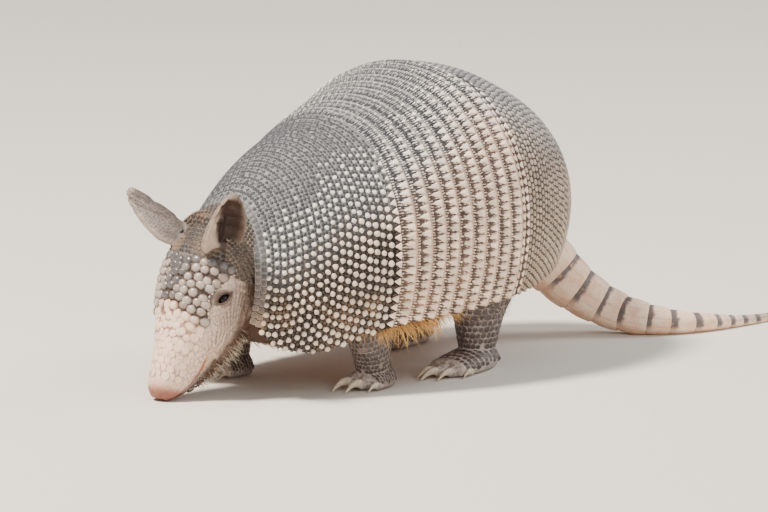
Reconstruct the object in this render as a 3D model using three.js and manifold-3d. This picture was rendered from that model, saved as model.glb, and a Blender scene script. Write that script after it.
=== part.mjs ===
// Nine-banded armadillo, life size, standing still with its nose to the ground as it drinks.
// Millimetres. The head points along -Y, the animal's left side is +X, and the floor is Z = 0.
import * as THREE from "three";
import { mergeVertices } from "three/addons/utils/BufferGeometryUtils.js";
import Module from "manifold-3d";

const wasm = await Module();
wasm.setup();

const degree = Math.PI / 180;

// The shell, before the body is bent. Each station is one arch across the back: its crown on the
// dorsal line, its half width, and where its lower edge ends. t runs from the neck rim to the tail.
const shellStations = [
  { t: 0.0, topY: -56, topZ: 100, half: 32, edgeY: -64, edgeZ: 44, under: 14 },
  { t: 0.1, topY: -38, topZ: 115, half: 44, edgeY: -55, edgeZ: 30, under: 20 },
  { t: 0.2, topY: -14, topZ: 130, half: 57, edgeY: -33, edgeZ: 26, under: 22 },
  { t: 0.33, topY: 17, topZ: 142, half: 69, edgeY: 8, edgeZ: 36, under: 22 },
  { t: 0.5, topY: 54, topZ: 155, half: 75, edgeY: 44, edgeZ: 39, under: 22 },
  { t: 0.66, topY: 88, topZ: 164, half: 78, edgeY: 80, edgeZ: 42, under: 22 },
  { t: 0.79, topY: 130, topZ: 155, half: 77, edgeY: 108, edgeZ: 46, under: 20 },
  { t: 0.91, topY: 178, topZ: 127.5, half: 65, edgeY: 143, edgeZ: 51, under: 14 },
  { t: 1.0, topY: 205, topZ: 75, half: 31, edgeY: 188, edgeZ: 50, under: 6 },
];
const archFullness = 2.1; // superellipse power of an arch; 2 is an ellipse
const shellThick = 4;
const shellGap = 0.8; // between the shell and the flesh under it
const pieceGap = 0.35; // between neighbouring pieces
const bandCount = 9;
const bandsFrom = 0.33;
const bandsTo = 0.66;
const bandRise = 1.3; // the rear edge of a band stands over the next one
const archSteps = 16;
const shieldRows = { shoulder: 7, band: 1, hip: 8 };
const backLength = 345; // along the crown, to turn a gap into a step of t
const normalStep = 0.004; // how far apart the points are that a surface normal is taken from

// The spine bends sideways between the two shields, with the left side on the outside of the bend.
const bend = { from: 16, to: 86, front: -9 * degree, rear: 6 * degree };

// Head: stations from the nape to the nose, along an axis that points steeply down.
const headStations = [
  { s: 0, half: 17, up: 11, down: 17 },
  { s: 9, half: 22, up: 15, down: 23 },
  { s: 22, half: 24.5, up: 17.5, down: 28.5 },
  { s: 34, half: 24, up: 17, down: 31.5 },
  { s: 44, half: 22, up: 15.5, down: 33.5 },
  { s: 55, half: 18.5, up: 12.5, down: 33 },
  { s: 69, half: 13.5, up: 10, down: 27.5 },
  { s: 77, half: 11.5, up: 9, down: 22 },
  { s: 86, half: 9.8, up: 7.8, down: 15 },
  { s: 91, half: 8.6, up: 6.6, down: 9.2 },
  { s: 93, half: 6.4, up: 4.8, down: 6 },
];
const headPitch = 66 * degree;
const headYaw = 5 * degree; // turned to the animal's right
const noseTip = { y: -98, z: 2.1 };
const headLength = 93;
const headSides = 16;
const headRows = 13;
const headShield = {
  from: 9,
  to: 62,
  spread: 74 * degree,
  endSpread: 0.72, // how wide its ends are, as part of the middle
  thick: 1.6,
  sides: 7,
  steps: 7,
};

const eye = { s: 34, angle: 95 * degree, radius: 3.6, sunk: 2, sides: 10, rows: 6 };

// Ears: each is turned its own way. Directions are outward, dorsal and toward the nose.
const ear = {
  base: { s: 7, angle: 46 * degree, sunk: 3 },
  length: 45,
  half: 13,
  rootWidth: 0.7, // width at the root, as part of the widest
  taperFrom: 0.3, // from here the ear narrows to its tip
  cup: 0.85, // how far the sides curl forward, as part of the half width
  flatten: 0.45, // how much of the cup is lost by the tip
  thick: 1.3,
  facing: [0.85, 0, 0.5],
  steps: 7,
  sides: 6,
};
const earWays = { left: [0.68, 0.53, -0.5], right: [0.84, 0.4, -0.37] };

const trunk = {
  from: 0.03,
  to: 0.965,
  rows: 15,
  reach: 0.97, // how far down the inside of the shell it goes
  bellySteps: 6,
  bellyDrop: 9,
  bellySquare: 0.7, // below 1 the belly is flatter than a sine
};

const neckStations = [
  { at: [0, -34, 66], side: 30, deep: 34 },
  { at: [0, -52, 72], side: 29, deep: 30 },
  { at: [0, -63, 75], side: 26, deep: 27 },
  { at: [0, -73, 78], side: 22, deep: 22 },
];

// Legs and feet. Each limb is a row of round stations from the body down, and a foot from heel to toes.
const legs = {
  front_left: [
    { at: [45, -2, 56], side: 15, deep: 18 },
    { at: [46, 4, 40], side: 12.5, deep: 14 },
    { at: [45, 10, 24], side: 10, deep: 11 },
    { at: [43, 14, 12], side: 8.5, deep: 9 },
  ],
  front_right: [
    { at: [-43, -6, 56], side: 15, deep: 18 },
    { at: [-42, -10, 40], side: 12.5, deep: 14 },
    { at: [-40, -13, 24], side: 10, deep: 11 },
    { at: [-38, -14, 12], side: 8.5, deep: 9 },
  ],
  hind_left: [
    { at: [46, 98, 64], side: 20, deep: 30 },
    { at: [48, 88, 46], side: 17, deep: 24 },
    { at: [48, 86, 28], side: 12, deep: 15 },
    { at: [47, 86, 13], side: 9, deep: 10 },
  ],
  hind_right: [
    { at: [-42, 128, 64], side: 20, deep: 30 },
    { at: [-40, 132, 46], side: 17, deep: 24 },
    { at: [-34, 138, 28], side: 12, deep: 15 },
    { at: [-29, 141, 13], side: 9, deep: 10 },
  ],
};
const limbSides = 10;

const feet = {
  front_left: { ankle: [43, 13], heading: 4 * degree, length: 15, half: 12.5, high: 15, back: 9 },
  front_right: { ankle: [-38, -15], heading: -8 * degree, length: 15, half: 12.5, high: 15, back: 9 },
  hind_left: { ankle: [47, 84], heading: 2 * degree, length: 32, half: 13, high: 16, back: 11 },
  hind_right: { ankle: [-29, 138], heading: -4 * degree, length: 32, half: 13, high: 16, back: 11 },
};
// Claws: across is the place over the foot's width, -1 inner to 1 outer; ahead is how far the
// toe reaches past the foot's length. A front foot has four toes and a hind foot five.
const claws = {
  front: [
    { across: -0.95, ahead: -5, length: 9, thick: 2.0 },
    { across: -0.34, ahead: 0, length: 14, thick: 2.7 },
    { across: 0.34, ahead: -0.5, length: 13, thick: 2.6 },
    { across: 0.98, ahead: -6, length: 9, thick: 2.0 },
  ],
  hind: [
    { across: -1.05, ahead: -11, length: 8, thick: 1.8 },
    { across: -0.55, ahead: -2, length: 11, thick: 2.2 },
    { across: 0, ahead: 1, length: 13, thick: 2.4 },
    { across: 0.55, ahead: -2, length: 11, thick: 2.2 },
    { across: 1.05, ahead: -11, length: 8, thick: 1.8 },
  ],
};
// Sizes marked as parts of a whole: of the foot's width and height, or of the claw's thickness.
const instep = {
  rows: 4,
  heelWidth: 0.8,
  heelHeight: 0.75,
  narrow: 0.6, // least width
  toeHeight: 0.55,
  middle: 0.42, // height of its centre line
};
const toe = {
  length: 7,
  sunk: 6,
  rows: 2,
  sides: 6,
  root: { fat: 1.75, spread: 0.66, height: 1.9 },
  tip: { fat: 1.1, spread: 0.88, height: 1.4 },
};
const clawShape = {
  sides: 5,
  rows: 3,
  sunk: 2.5,
  taper: 0.8,
  flat: 0.8,
  splay: 0.1,
  height: 1.5,
  arch: 0.5,
  fall: 1.25,
};

// Tail: its centre line in the bent frame, from inside the shell down to the floor and along it.
const tailStations = [
  { at: [-8, 176, 66], radius: 18.4 },
  { at: [-6, 192, 56], radius: 17.8 },
  { at: [1, 206, 43], radius: 16.4 },
  { at: [15, 218, 25.5], radius: 13.3 },
  { at: [30.5, 229, 14], radius: 10.8 },
  { at: [47, 236, 9], radius: 8.9 },
  { at: [60, 247, 6.7], radius: 6.8 },
  { at: [69, 266, 4.7], radius: 5 },
  { at: [75, 297, 2.6], radius: 2.9 },
  { at: [77, 337, 1.8], radius: 2.1 },
  { at: [70, 386, 1.2], radius: 1.4 },
];
const tailCuts = [0, 0.36, 0.56, 0.78, 1]; // where the tail is parted, along its station list
const tailSides = 12;
const tailRows = 26;
const tailSlit = 0.0012; // as part of its length

const colours = {
  shell: 0x9b938d,
  skin: 0xc4aa9b,
  dark: 0x5a524d,
  claw: 0xc9b08f,
  eye: 0x0d0b0a,
};

// ---------- numbers and curves ----------

// Value of one field of a station list at x: a smooth cubic through all of the stations.
function along(stations, axis, field, x) {
  const last = stations.length - 1;
  const value = (i) => stations[i][field];
  const place = (i) => stations[i][axis];
  let i = 0;
  while (i < last - 1 && x > place(i + 1)) i++;
  const slope = (j) => {
    const a = Math.max(j - 1, 0);
    const b = Math.min(j + 1, last);
    return (value(b) - value(a)) / (place(b) - place(a));
  };
  const width = place(i + 1) - place(i);
  const u = Math.min(Math.max((x - place(i)) / width, 0), 1);
  const u2 = u * u;
  const u3 = u2 * u;
  return (
    (2 * u3 - 3 * u2 + 1) * value(i) +
    (u3 - 2 * u2 + u) * width * slope(i) +
    (3 * u2 - 2 * u3) * value(i + 1) +
    (u3 - u2) * width * slope(i + 1)
  );
}

// A point moved by the sideways bend of the spine.
function bent(p) {
  const length = bend.to - bend.from;
  const turn = (bend.rear - bend.front) / length;
  const straightAt = bend.from - bend.front / turn; // where the heading is straight ahead
  const inside = Math.min(Math.max(p.y, bend.from), bend.to);
  const angle = (inside - straightAt) * turn;
  const x = (Math.cos(angle) - 1) / turn - Math.sin(angle) * (p.y - inside) + Math.cos(angle) * p.x;
  const y = straightAt + Math.sin(angle) / turn + Math.cos(angle) * (p.y - inside) + Math.sin(angle) * p.x;
  return new THREE.Vector3(x, y, p.z);
}

// ---------- the shell's surface ----------

// A point on an arch. side runs from -1, the right lower edge, over the crown at 0, to 1.
function archPoint(t, side) {
  const under = along(shellStations, "t", "under", t) * degree;
  const half = along(shellStations, "t", "half", t);
  const angle = Math.abs(side) * (90 * degree + under);
  const power = 2 / archFullness;
  const round = (v) => Math.sign(v) * Math.abs(v) ** power;
  const lowest = round(Math.cos(90 * degree + under));
  const fall = (1 - round(Math.cos(angle))) / (1 - lowest); // 0 at the crown, 1 at the lower edge
  const topY = along(shellStations, "t", "topY", t);
  const topZ = along(shellStations, "t", "topZ", t);
  const edgeY = along(shellStations, "t", "edgeY", t);
  const edgeZ = along(shellStations, "t", "edgeZ", t);
  return new THREE.Vector3(
    Math.sign(side) * half * round(Math.sin(angle)),
    topY + (edgeY - topY) * fall,
    topZ + (edgeZ - topZ) * fall,
  );
}

// The same point raised off the shell along its outward normal.
function shellPoint(t, side, lift = 0) {
  const ahead = archPoint(Math.max(t - normalStep, 0), side);
  const behind = archPoint(Math.min(t + normalStep, 1), side);
  const left = archPoint(t, Math.min(side + normalStep, 1));
  const right = archPoint(t, Math.max(side - normalStep, -1));
  const normal = left.sub(right).cross(behind.sub(ahead)).normalize();
  return archPoint(t, side).addScaledVector(normal, lift);
}

// ---------- closed meshes ----------

// Joins rings of points, all of one count, into a closed solid with a fan over each end.
function loft(rings) {
  const sides = rings[0].length;
  const points = rings.flat();
  const faces = [];
  for (let r = 0; r < rings.length - 1; r++)
    for (let i = 0; i < sides; i++) {
      const j = (i + 1) % sides;
      const a = r * sides + i;
      const b = r * sides + j;
      faces.push([a, b, b + sides], [a, b + sides, a + sides]);
    }
  for (const [r, turned] of [
    [0, true],
    [rings.length - 1, false],
  ]) {
    const centre = new THREE.Vector3();
    rings[r].forEach((p) => centre.addScaledVector(p, 1 / sides));
    points.push(centre);
    for (let i = 0; i < sides; i++) {
      const a = r * sides + i;
      const b = r * sides + ((i + 1) % sides);
      faces.push(turned ? [b, a, points.length - 1] : [a, b, points.length - 1]);
    }
  }
  return facing(points, faces);
}

// A grid of points with a second grid under it, closed by walls along all four edges.
function slab(outer, inner) {
  const rows = outer.length;
  const columns = outer[0].length;
  const rings = [];
  for (let r = 0; r < rows; r++) rings.push([...outer[r], ...inner[r].slice().reverse()]);
  const sides = 2 * columns;
  const points = rings.flat();
  const faces = [];
  for (let r = 0; r < rows - 1; r++)
    for (let i = 0; i < sides; i++) {
      const j = (i + 1) % sides;
      const a = r * sides + i;
      const b = r * sides + j;
      faces.push([a, b, b + sides], [a, b + sides, a + sides]);
    }
  for (const [r, turned] of [
    [0, true],
    [rows - 1, false],
  ])
    for (let i = 0; i < columns - 1; i++) {
      const a = r * sides + i;
      const c = r * sides + (sides - 1 - i);
      const quad = [
        [a, a + 1, c],
        [a + 1, c - 1, c],
      ];
      quad.forEach(([p, q, s]) => faces.push(turned ? [q, p, s] : [p, q, s]));
    }
  return facing(points, faces);
}

// Indexed geometry from points and triangles, with the faces turned outward.
function facing(points, faces) {
  let volume = 0;
  for (const [a, b, c] of faces)
    volume += points[a].dot(new THREE.Vector3().crossVectors(points[b], points[c]));
  const index = faces.flatMap(([a, b, c]) => (volume > 0 ? [a, b, c] : [a, c, b]));
  const geometry = new THREE.BufferGeometry();
  geometry.setAttribute(
    "position",
    new THREE.Float32BufferAttribute(
      points.flatMap((p) => [p.x, p.y, p.z]),
      3,
    ),
  );
  geometry.setIndex(index);
  return geometry;
}

function solid(geometry) {
  const plain = geometry.clone();
  plain.deleteAttribute("normal");
  plain.deleteAttribute("uv");
  const merged = mergeVertices(plain, 1e-4);
  return new wasm.Manifold(
    new wasm.Mesh({
      numProp: 3,
      vertProperties: new Float32Array(merged.attributes.position.array),
      triVerts: new Uint32Array(merged.index.array),
    }),
  );
}

function geometryOf(manifold) {
  const mesh = manifold.getMesh();
  const geometry = new THREE.BufferGeometry();
  geometry.setAttribute("position", new THREE.BufferAttribute(mesh.vertProperties, mesh.numProp));
  geometry.setIndex(new THREE.BufferAttribute(mesh.triVerts, 1));
  return geometry;
}

// The largest body of a solid, so that a cut leaves no crumbs.
function mainBody(manifold) {
  return manifold.decompose().sort((a, b) => b.volume() - a.volume())[0];
}

// ---------- shell pieces ----------

// A length of the shell from t = from to t = to. rise lifts its rear edge.
function shellPiece(from, to, rows, rise = 0) {
  const outer = [];
  const inner = [];
  for (let r = 0; r <= rows; r++) {
    const t = from + ((to - from) * r) / rows;
    const lift = (rise * r) / rows;
    const overRow = (depth) =>
      Array.from({ length: archSteps + 1 }, (_, i) =>
        bent(shellPoint(t, (2 * i) / archSteps - 1, lift - depth)),
      );
    outer.push(overRow(0));
    inner.push(overRow(shellThick + (rise * r) / rows));
  }
  return slab(outer, inner);
}

// Ring of the flesh inside the shell: the inside of the arch, then the belly from side to side.
function trunkRing(t, grow) {
  const depth = shellThick + shellGap - grow;
  const reach = grow > 0 ? 1 : trunk.reach;
  const ring = [];
  for (let i = 0; i <= archSteps; i++) ring.push(shellPoint(t, reach * ((2 * i) / archSteps - 1), -depth));
  const left = ring[archSteps];
  const right = ring[0];
  const drop = (trunk.bellyDrop + grow) * Math.sin(Math.PI * Math.min(Math.max(t, 0.1), 0.9));
  for (let i = 1; i <= trunk.bellySteps; i++) {
    const u = i / (trunk.bellySteps + 1);
    const p = left.clone().lerp(right, u);
    p.z -= drop * Math.sin(Math.PI * u) ** trunk.bellySquare;
    ring.push(p);
  }
  return ring.map(bent);
}

function trunkLoft(grow, from = trunk.from, to = trunk.to) {
  const rings = [];
  for (let r = 0; r <= trunk.rows; r++) rings.push(trunkRing(from + ((to - from) * r) / trunk.rows, grow));
  return loft(rings);
}

// ---------- limbs, neck and tail ----------

// Round stations along a path. side is the half width across X, deep the half width in its own plane.
function limb(stations, sides, grow = 0) {
  const centres = stations.map((s) => new THREE.Vector3(...s.at));
  const rings = stations.map((station, i) => {
    const before = centres[Math.max(i - 1, 0)];
    const after = centres[Math.min(i + 1, centres.length - 1)];
    const way = after.clone().sub(before).normalize();
    const across = new THREE.Vector3(1, 0, 0).addScaledVector(way, -way.x).normalize();
    const other = new THREE.Vector3().crossVectors(way, across);
    return Array.from({ length: sides }, (_, k) => {
      const a = (2 * Math.PI * k) / sides;
      return centres[i]
        .clone()
        .addScaledVector(across, (station.side + grow) * Math.cos(a))
        .addScaledVector(other, (station.deep + grow) * Math.sin(a));
    }).map(bent);
  });
  return loft(rings);
}

// The sole and instep of a foot, from heel to the roots of the toes. Its sole lies on the floor.
function instepLoft(foot, grow) {
  const rings = [];
  for (let r = 0; r <= instep.rows; r++) {
    const u = r / instep.rows;
    const ahead = -foot.back + (foot.back + foot.length - toe.length) * u;
    const swell = Math.sin(Math.PI * (0.12 + 0.6 * u));
    const half = foot.half * (instep.narrow + (1 - instep.narrow) * swell) * (r ? 1 : instep.heelWidth);
    const high = foot.high * (1 - (1 - instep.toeHeight) * u) * (r ? 1 : instep.heelHeight);
    rings.push(
      Array.from({ length: limbSides }, (_, k) => {
        const a = (2 * Math.PI * k) / limbSides;
        const z = high * instep.middle + (high * (1 - instep.middle) + grow) * Math.sin(a);
        return bent(footPlace(foot, (half + grow) * Math.cos(a), ahead, z));
      }),
    );
  }
  return loft(rings);
}

// A toe: a short rounded finger that carries one claw.
function toeLoft(foot, claw, outward, grow) {
  const rings = [];
  const root = foot.length - toe.length - toe.sunk;
  const reach = toe.length + toe.sunk + claw.ahead;
  const across = claw.across * foot.half * outward;
  for (let r = 0; r <= toe.rows; r++) {
    const u = r / toe.rows;
    const blend = (field) => toe.root[field] + (toe.tip[field] - toe.root[field]) * u;
    const radius = claw.thick * blend("fat") + grow;
    rings.push(
      Array.from({ length: toe.sides }, (_, k) => {
        const a = (2 * Math.PI * k) / toe.sides;
        const x = across * blend("spread") + radius * Math.cos(a);
        const z = claw.thick * blend("height") + radius * Math.sin(a);
        return bent(footPlace(foot, x, root + reach * u, z));
      }),
    );
  }
  return loft(rings);
}

function footSolid(foot, set, outward, grow = 0) {
  let made = solid(instepLoft(foot, grow));
  for (const claw of set) made = made.add(solid(toeLoft(foot, claw, outward, grow)));
  return made;
}

// A place in a foot's own frame: across, ahead of the ankle, and up.
function footPlace(foot, across, ahead, up) {
  const c = Math.cos(foot.heading);
  const s = Math.sin(foot.heading);
  const [x, y] = foot.ankle;
  return new THREE.Vector3(x + c * across + s * ahead, y + s * across - c * ahead, up);
}

// A claw: a curved cone that leaves its toe, arches and comes down to the floor.
function clawLoft(foot, claw, outward) {
  const { sides, rows, sunk, taper, flat, splay, height, arch, fall } = clawShape;
  const root = foot.length + claw.ahead - sunk;
  const across = claw.across * foot.half * toe.tip.spread * outward;
  const rings = [];
  for (let r = 0; r <= rows; r++) {
    const u = r / rows;
    const radius = claw.thick * (1 - taper * u ** 1.3);
    const middle = claw.thick * (height + arch * Math.sin(Math.PI * u) - fall * u * u);
    rings.push(
      Array.from({ length: sides }, (_, k) => {
        const a = (2 * Math.PI * k) / sides;
        const x = across * (1 + splay * u) + radius * flat * Math.cos(a);
        return bent(footPlace(foot, x, root + claw.length * u, middle + radius * Math.sin(a)));
      }),
    );
  }
  return loft(rings);
}

// The tail's centre and radius at u, 0 at the shell and 1 at the tip.
const tailCurve = new THREE.CatmullRomCurve3(
  tailStations.map((s) => new THREE.Vector3(...s.at)),
  false,
  "centripetal",
);

function tailLoft(from, to, grow = 0) {
  const rows = Math.max(4, Math.round(tailRows * (to - from)));
  const rings = [];
  const radii = tailStations.map((s, i) => ({ u: i / (tailStations.length - 1), radius: s.radius }));
  for (let r = 0; r <= rows; r++) {
    const u = from + ((to - from) * r) / rows;
    const centre = tailCurve.getPoint(u);
    const way = tailCurve.getTangent(u);
    const across = new THREE.Vector3(-way.y, way.x, 0).normalize();
    const up = new THREE.Vector3().crossVectors(across, way);
    const radius = along(radii, "u", "radius", u) + grow;
    rings.push(
      Array.from({ length: tailSides }, (_, k) => {
        const a = (2 * Math.PI * k) / tailSides;
        return centre
          .clone()
          .addScaledVector(across, radius * Math.cos(a))
          .addScaledVector(up, radius * Math.sin(a));
      }),
    );
  }
  return loft(rings);
}

// ---------- head ----------

const headWay = new THREE.Vector3(0, -Math.cos(headPitch), -Math.sin(headPitch));
const headDorsal = new THREE.Vector3(0, -Math.sin(headPitch), Math.cos(headPitch));
const nape = new THREE.Vector3(0, noseTip.y, noseTip.z).addScaledVector(headWay, -headLength);

// A place in the head's own frame, turned with the head and bent with the body.
function headPlace(across, dorsal, s) {
  const p = nape
    .clone()
    .addScaledVector(headDorsal, dorsal)
    .addScaledVector(headWay, s)
    .add(new THREE.Vector3(across, 0, 0));
  p.sub(nape).applyAxisAngle(new THREE.Vector3(0, 0, 1), -headYaw).add(nape);
  return bent(p);
}

// A point round the head: angle 0 is the dorsal line, positive to the left.
function headPoint(s, angle, lift = 0) {
  const half = along(headStations, "s", "half", s) + lift;
  const up = along(headStations, "s", "up", s) + lift;
  const down = along(headStations, "s", "down", s) + lift;
  const c = Math.cos(angle);
  return headPlace(half * Math.sin(angle), (c > 0 ? up : down) * c, s);
}

function headLoft(grow = 0) {
  const rings = [];
  for (let r = 0; r <= headRows; r++) {
    const s = (headLength * r) / headRows;
    rings.push(
      Array.from({ length: headSides }, (_, k) => headPoint(s, (2 * Math.PI * k) / headSides, grow)),
    );
  }
  return loft(rings);
}

function headShieldSlab(grow = 0) {
  const { from, to, spread, endSpread, thick, sides, steps } = headShield;
  const widestHalf = Math.max(...headStations.map((station) => station.half));
  const grids = [[], []];
  for (let r = 0; r <= steps; r++) {
    const u = r / steps;
    const s = from - grow + (to - from + 2 * grow) * u;
    const belly = endSpread + (1 - endSpread) * Math.sin(Math.PI * (0.25 + 0.5 * u));
    const open = (spread + grow / widestHalf) * belly;
    for (const [grid, lift] of [
      [grids[0], thick * 0.5 + grow],
      [grids[1], -thick * 0.5 - grow],
    ])
      grid.push(
        Array.from({ length: sides + 1 }, (_, i) => headPoint(s, open * ((2 * i) / sides - 1), lift)),
      );
  }
  return slab(grids[0], grids[1]);
}

function eyeCentre(side) {
  return headPoint(eye.s, side * eye.angle, -eye.sunk);
}

function ball(centre, radius) {
  return new THREE.SphereGeometry(radius, eye.sides, eye.rows).translate(centre.x, centre.y, centre.z);
}

// An ear: a long cup with a narrow foot, its hollow turned forward and out.
function earSlab(side, grow = 0) {
  const [outward, dorsal, ahead] = side > 0 ? earWays.left : earWays.right;
  const way = new THREE.Vector3(side * outward, dorsal, ahead).normalize();
  const open = new THREE.Vector3(side * ear.facing[0], ear.facing[1], ear.facing[2]);
  open.addScaledVector(way, -open.dot(way)).normalize();
  const across = new THREE.Vector3().crossVectors(way, open);
  const { s, angle, sunk } = ear.base;
  const half = along(headStations, "s", "half", s) - sunk;
  const up = along(headStations, "s", "up", s) - sunk;
  const root = new THREE.Vector3(side * half * Math.sin(angle), up * Math.cos(angle), s);
  const grids = [[], []];
  for (let r = 0; r <= ear.steps; r++) {
    const u = r / ear.steps;
    const width = grow + ear.half * earWidth(u);
    for (const [grid, depth] of [
      [grids[0], ear.thick / 2 + grow],
      [grids[1], -ear.thick / 2 - grow],
    ])
      grid.push(
        Array.from({ length: ear.sides + 1 }, (_, i) => {
          const v = (2 * i) / ear.sides - 1;
          const curl = ear.cup * width * (v * v - 0.4) * (1 - ear.flatten * u);
          const p = root
            .clone()
            .addScaledVector(way, ear.length * u)
            .addScaledVector(across, width * v * 0.9)
            .addScaledVector(open, curl + depth);
          return headPlace(p.x, p.y, p.z);
        }),
      );
  }
  return slab(grids[0], grids[1]);
}

// Width of an ear at u, 0 at the root and 1 at the tip, as part of its widest.
function earWidth(u) {
  const flare = ear.rootWidth + (1 - ear.rootWidth) * Math.sin(Math.PI * Math.min(u * 2, 0.5));
  const past = Math.max(u - ear.taperFrom, 0) / (1.01 - ear.taperFrom);
  return flare * Math.sqrt(1 - past ** 1.7);
}

// ---------- the model ----------

const model = new THREE.Group();

function add(name, geometry, colour, roughness = 0.8) {
  const material = new THREE.MeshStandardMaterial({ color: colour, roughness, metalness: 0 });
  const mesh = new THREE.Mesh(geometry, material);
  mesh.name = name;
  model.add(mesh);
}

const floorBlock = solid(new THREE.BoxGeometry(1200, 1200, 100).translate(0, 100, -50));
const onFloor = (manifold) => mainBody(manifold.subtract(floorBlock));
const envelope = solid(trunkLoft(shellThick + shellGap + bandRise + pieceGap, 0, 1));
const headGrown = solid(headLoft(pieceGap));
const tailGrown = solid(tailLoft(0, tailCuts[1], pieceGap));

// Shell: the front shield, nine bands and the rear shield, with a slit between neighbours.
const slit = pieceGap / backLength;
const shoulder = shellPiece(0, bandsFrom - slit, shieldRows.shoulder, bandRise);
add("shell_shoulder", shoulder, colours.shell);
const bandLength = (bandsTo - bandsFrom) / bandCount;
for (let i = 0; i < bandCount; i++) {
  const from = bandsFrom + i * bandLength;
  const band = shellPiece(from, from + bandLength - slit, shieldRows.band, bandRise);
  add(`band_${i + 1}`, band, colours.shell);
}
const hip = solid(shellPiece(bandsTo, 1, shieldRows.hip)).subtract(tailGrown);
add("shell_hip", geometryOf(mainBody(hip)), colours.shell);

const body = solid(trunkLoft(0)).subtract(tailGrown);
add("trunk", geometryOf(mainBody(body)), colours.skin);

// Head, with its shield, eyes and ears.
const shieldCut = solid(headShieldSlab(pieceGap * 0.9));
const ears = {};
for (const [name, side] of [
  ["left", 1],
  ["right", -1],
]) {
  ears[name] = mainBody(solid(earSlab(side)).subtract(headGrown).subtract(envelope));
}
let head = solid(headLoft()).subtract(shieldCut);
for (const side of [1, -1]) head = head.subtract(solid(ball(eyeCentre(side), eye.radius + pieceGap)));
head = onFloor(head.subtract(envelope));
add("head", geometryOf(head), colours.skin);
let headPlate = solid(headShieldSlab()).subtract(envelope);
for (const side of [1, -1]) headPlate = headPlate.subtract(solid(earSlab(side, pieceGap)));
add("head_shield", geometryOf(mainBody(headPlate)), colours.shell);
add("eye_left", ball(eyeCentre(1), eye.radius), colours.eye, 0.1);
add("eye_right", ball(eyeCentre(-1), eye.radius), colours.eye, 0.1);
add("ear_left", geometryOf(ears.left), colours.skin);
add("ear_right", geometryOf(ears.right), colours.skin);

let neck = solid(limb(neckStations, limbSides)).subtract(envelope).subtract(headGrown).subtract(shieldCut);
for (const side of [1, -1]) neck = neck.subtract(solid(earSlab(side, pieceGap)));
add("neck", geometryOf(mainBody(neck)), colours.skin);

// Legs, feet and claws.
for (const [name, stations] of Object.entries(legs)) {
  const foot = feet[name];
  const outward = name.endsWith("left") ? 1 : -1;
  const set = claws[name.startsWith("front") ? "front" : "hind"];
  const footGrown = footSolid(foot, set, outward, pieceGap);
  const leg = solid(limb(stations, limbSides)).subtract(envelope).subtract(footGrown);
  add(`leg_${name}`, geometryOf(onFloor(leg)), colours.dark);
  add(`foot_${name}`, geometryOf(onFloor(footSolid(foot, set, outward))), colours.dark);
  set.forEach((claw, i) => {
    const made = onFloor(solid(clawLoft(foot, claw, outward)).subtract(footGrown));
    add(`claw_${name}_${i + 1}`, geometryOf(made), colours.claw, 0.5);
  });
}

// Tail, parted into four lengths.
for (let i = 0; i < tailCuts.length - 1; i++) {
  const to = i < tailCuts.length - 2 ? tailCuts[i + 1] - tailSlit : tailCuts[i + 1];
  const length = solid(tailLoft(tailCuts[i], to));
  add(`tail_${i + 1}`, geometryOf(onFloor(length)), colours.skin);
}

// The origin goes to the middle of the footprint, on the floor.
const box = new THREE.Box3().setFromObject(model);
model.position.set(-(box.min.x + box.max.x) / 2, -(box.min.y + box.max.y) / 2, 0);
const root = new THREE.Group();
root.add(model);

export default root;
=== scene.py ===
import math

import bmesh
import bpy
import numpy as np
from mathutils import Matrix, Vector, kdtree
from mathutils.bvhtree import BVHTree


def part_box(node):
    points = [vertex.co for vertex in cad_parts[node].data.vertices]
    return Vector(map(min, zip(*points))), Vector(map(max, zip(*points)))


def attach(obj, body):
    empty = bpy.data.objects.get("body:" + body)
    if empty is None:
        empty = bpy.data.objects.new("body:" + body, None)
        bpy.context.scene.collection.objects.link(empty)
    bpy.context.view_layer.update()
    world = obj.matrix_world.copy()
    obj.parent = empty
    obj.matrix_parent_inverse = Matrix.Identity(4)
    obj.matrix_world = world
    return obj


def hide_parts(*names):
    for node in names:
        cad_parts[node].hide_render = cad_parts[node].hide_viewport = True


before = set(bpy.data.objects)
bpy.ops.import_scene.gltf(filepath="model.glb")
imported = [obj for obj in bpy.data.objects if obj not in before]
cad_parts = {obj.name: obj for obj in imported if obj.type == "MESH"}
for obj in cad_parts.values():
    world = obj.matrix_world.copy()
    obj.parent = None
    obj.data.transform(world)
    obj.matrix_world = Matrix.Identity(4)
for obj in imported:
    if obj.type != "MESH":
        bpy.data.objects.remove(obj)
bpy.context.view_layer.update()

# Sizes are millimetres in the body's own straight frame: head toward -Y, left side +X, floor at Z = 0.
mm = 0.001
degree = math.pi / 180
draw = np.random.default_rng(9)  # every random number comes from here, in the order of the script

# The form, as the frame has it.
def stationsOf(fields, *rows):
    return [dict(zip(fields.split(), row)) for row in rows]


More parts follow.
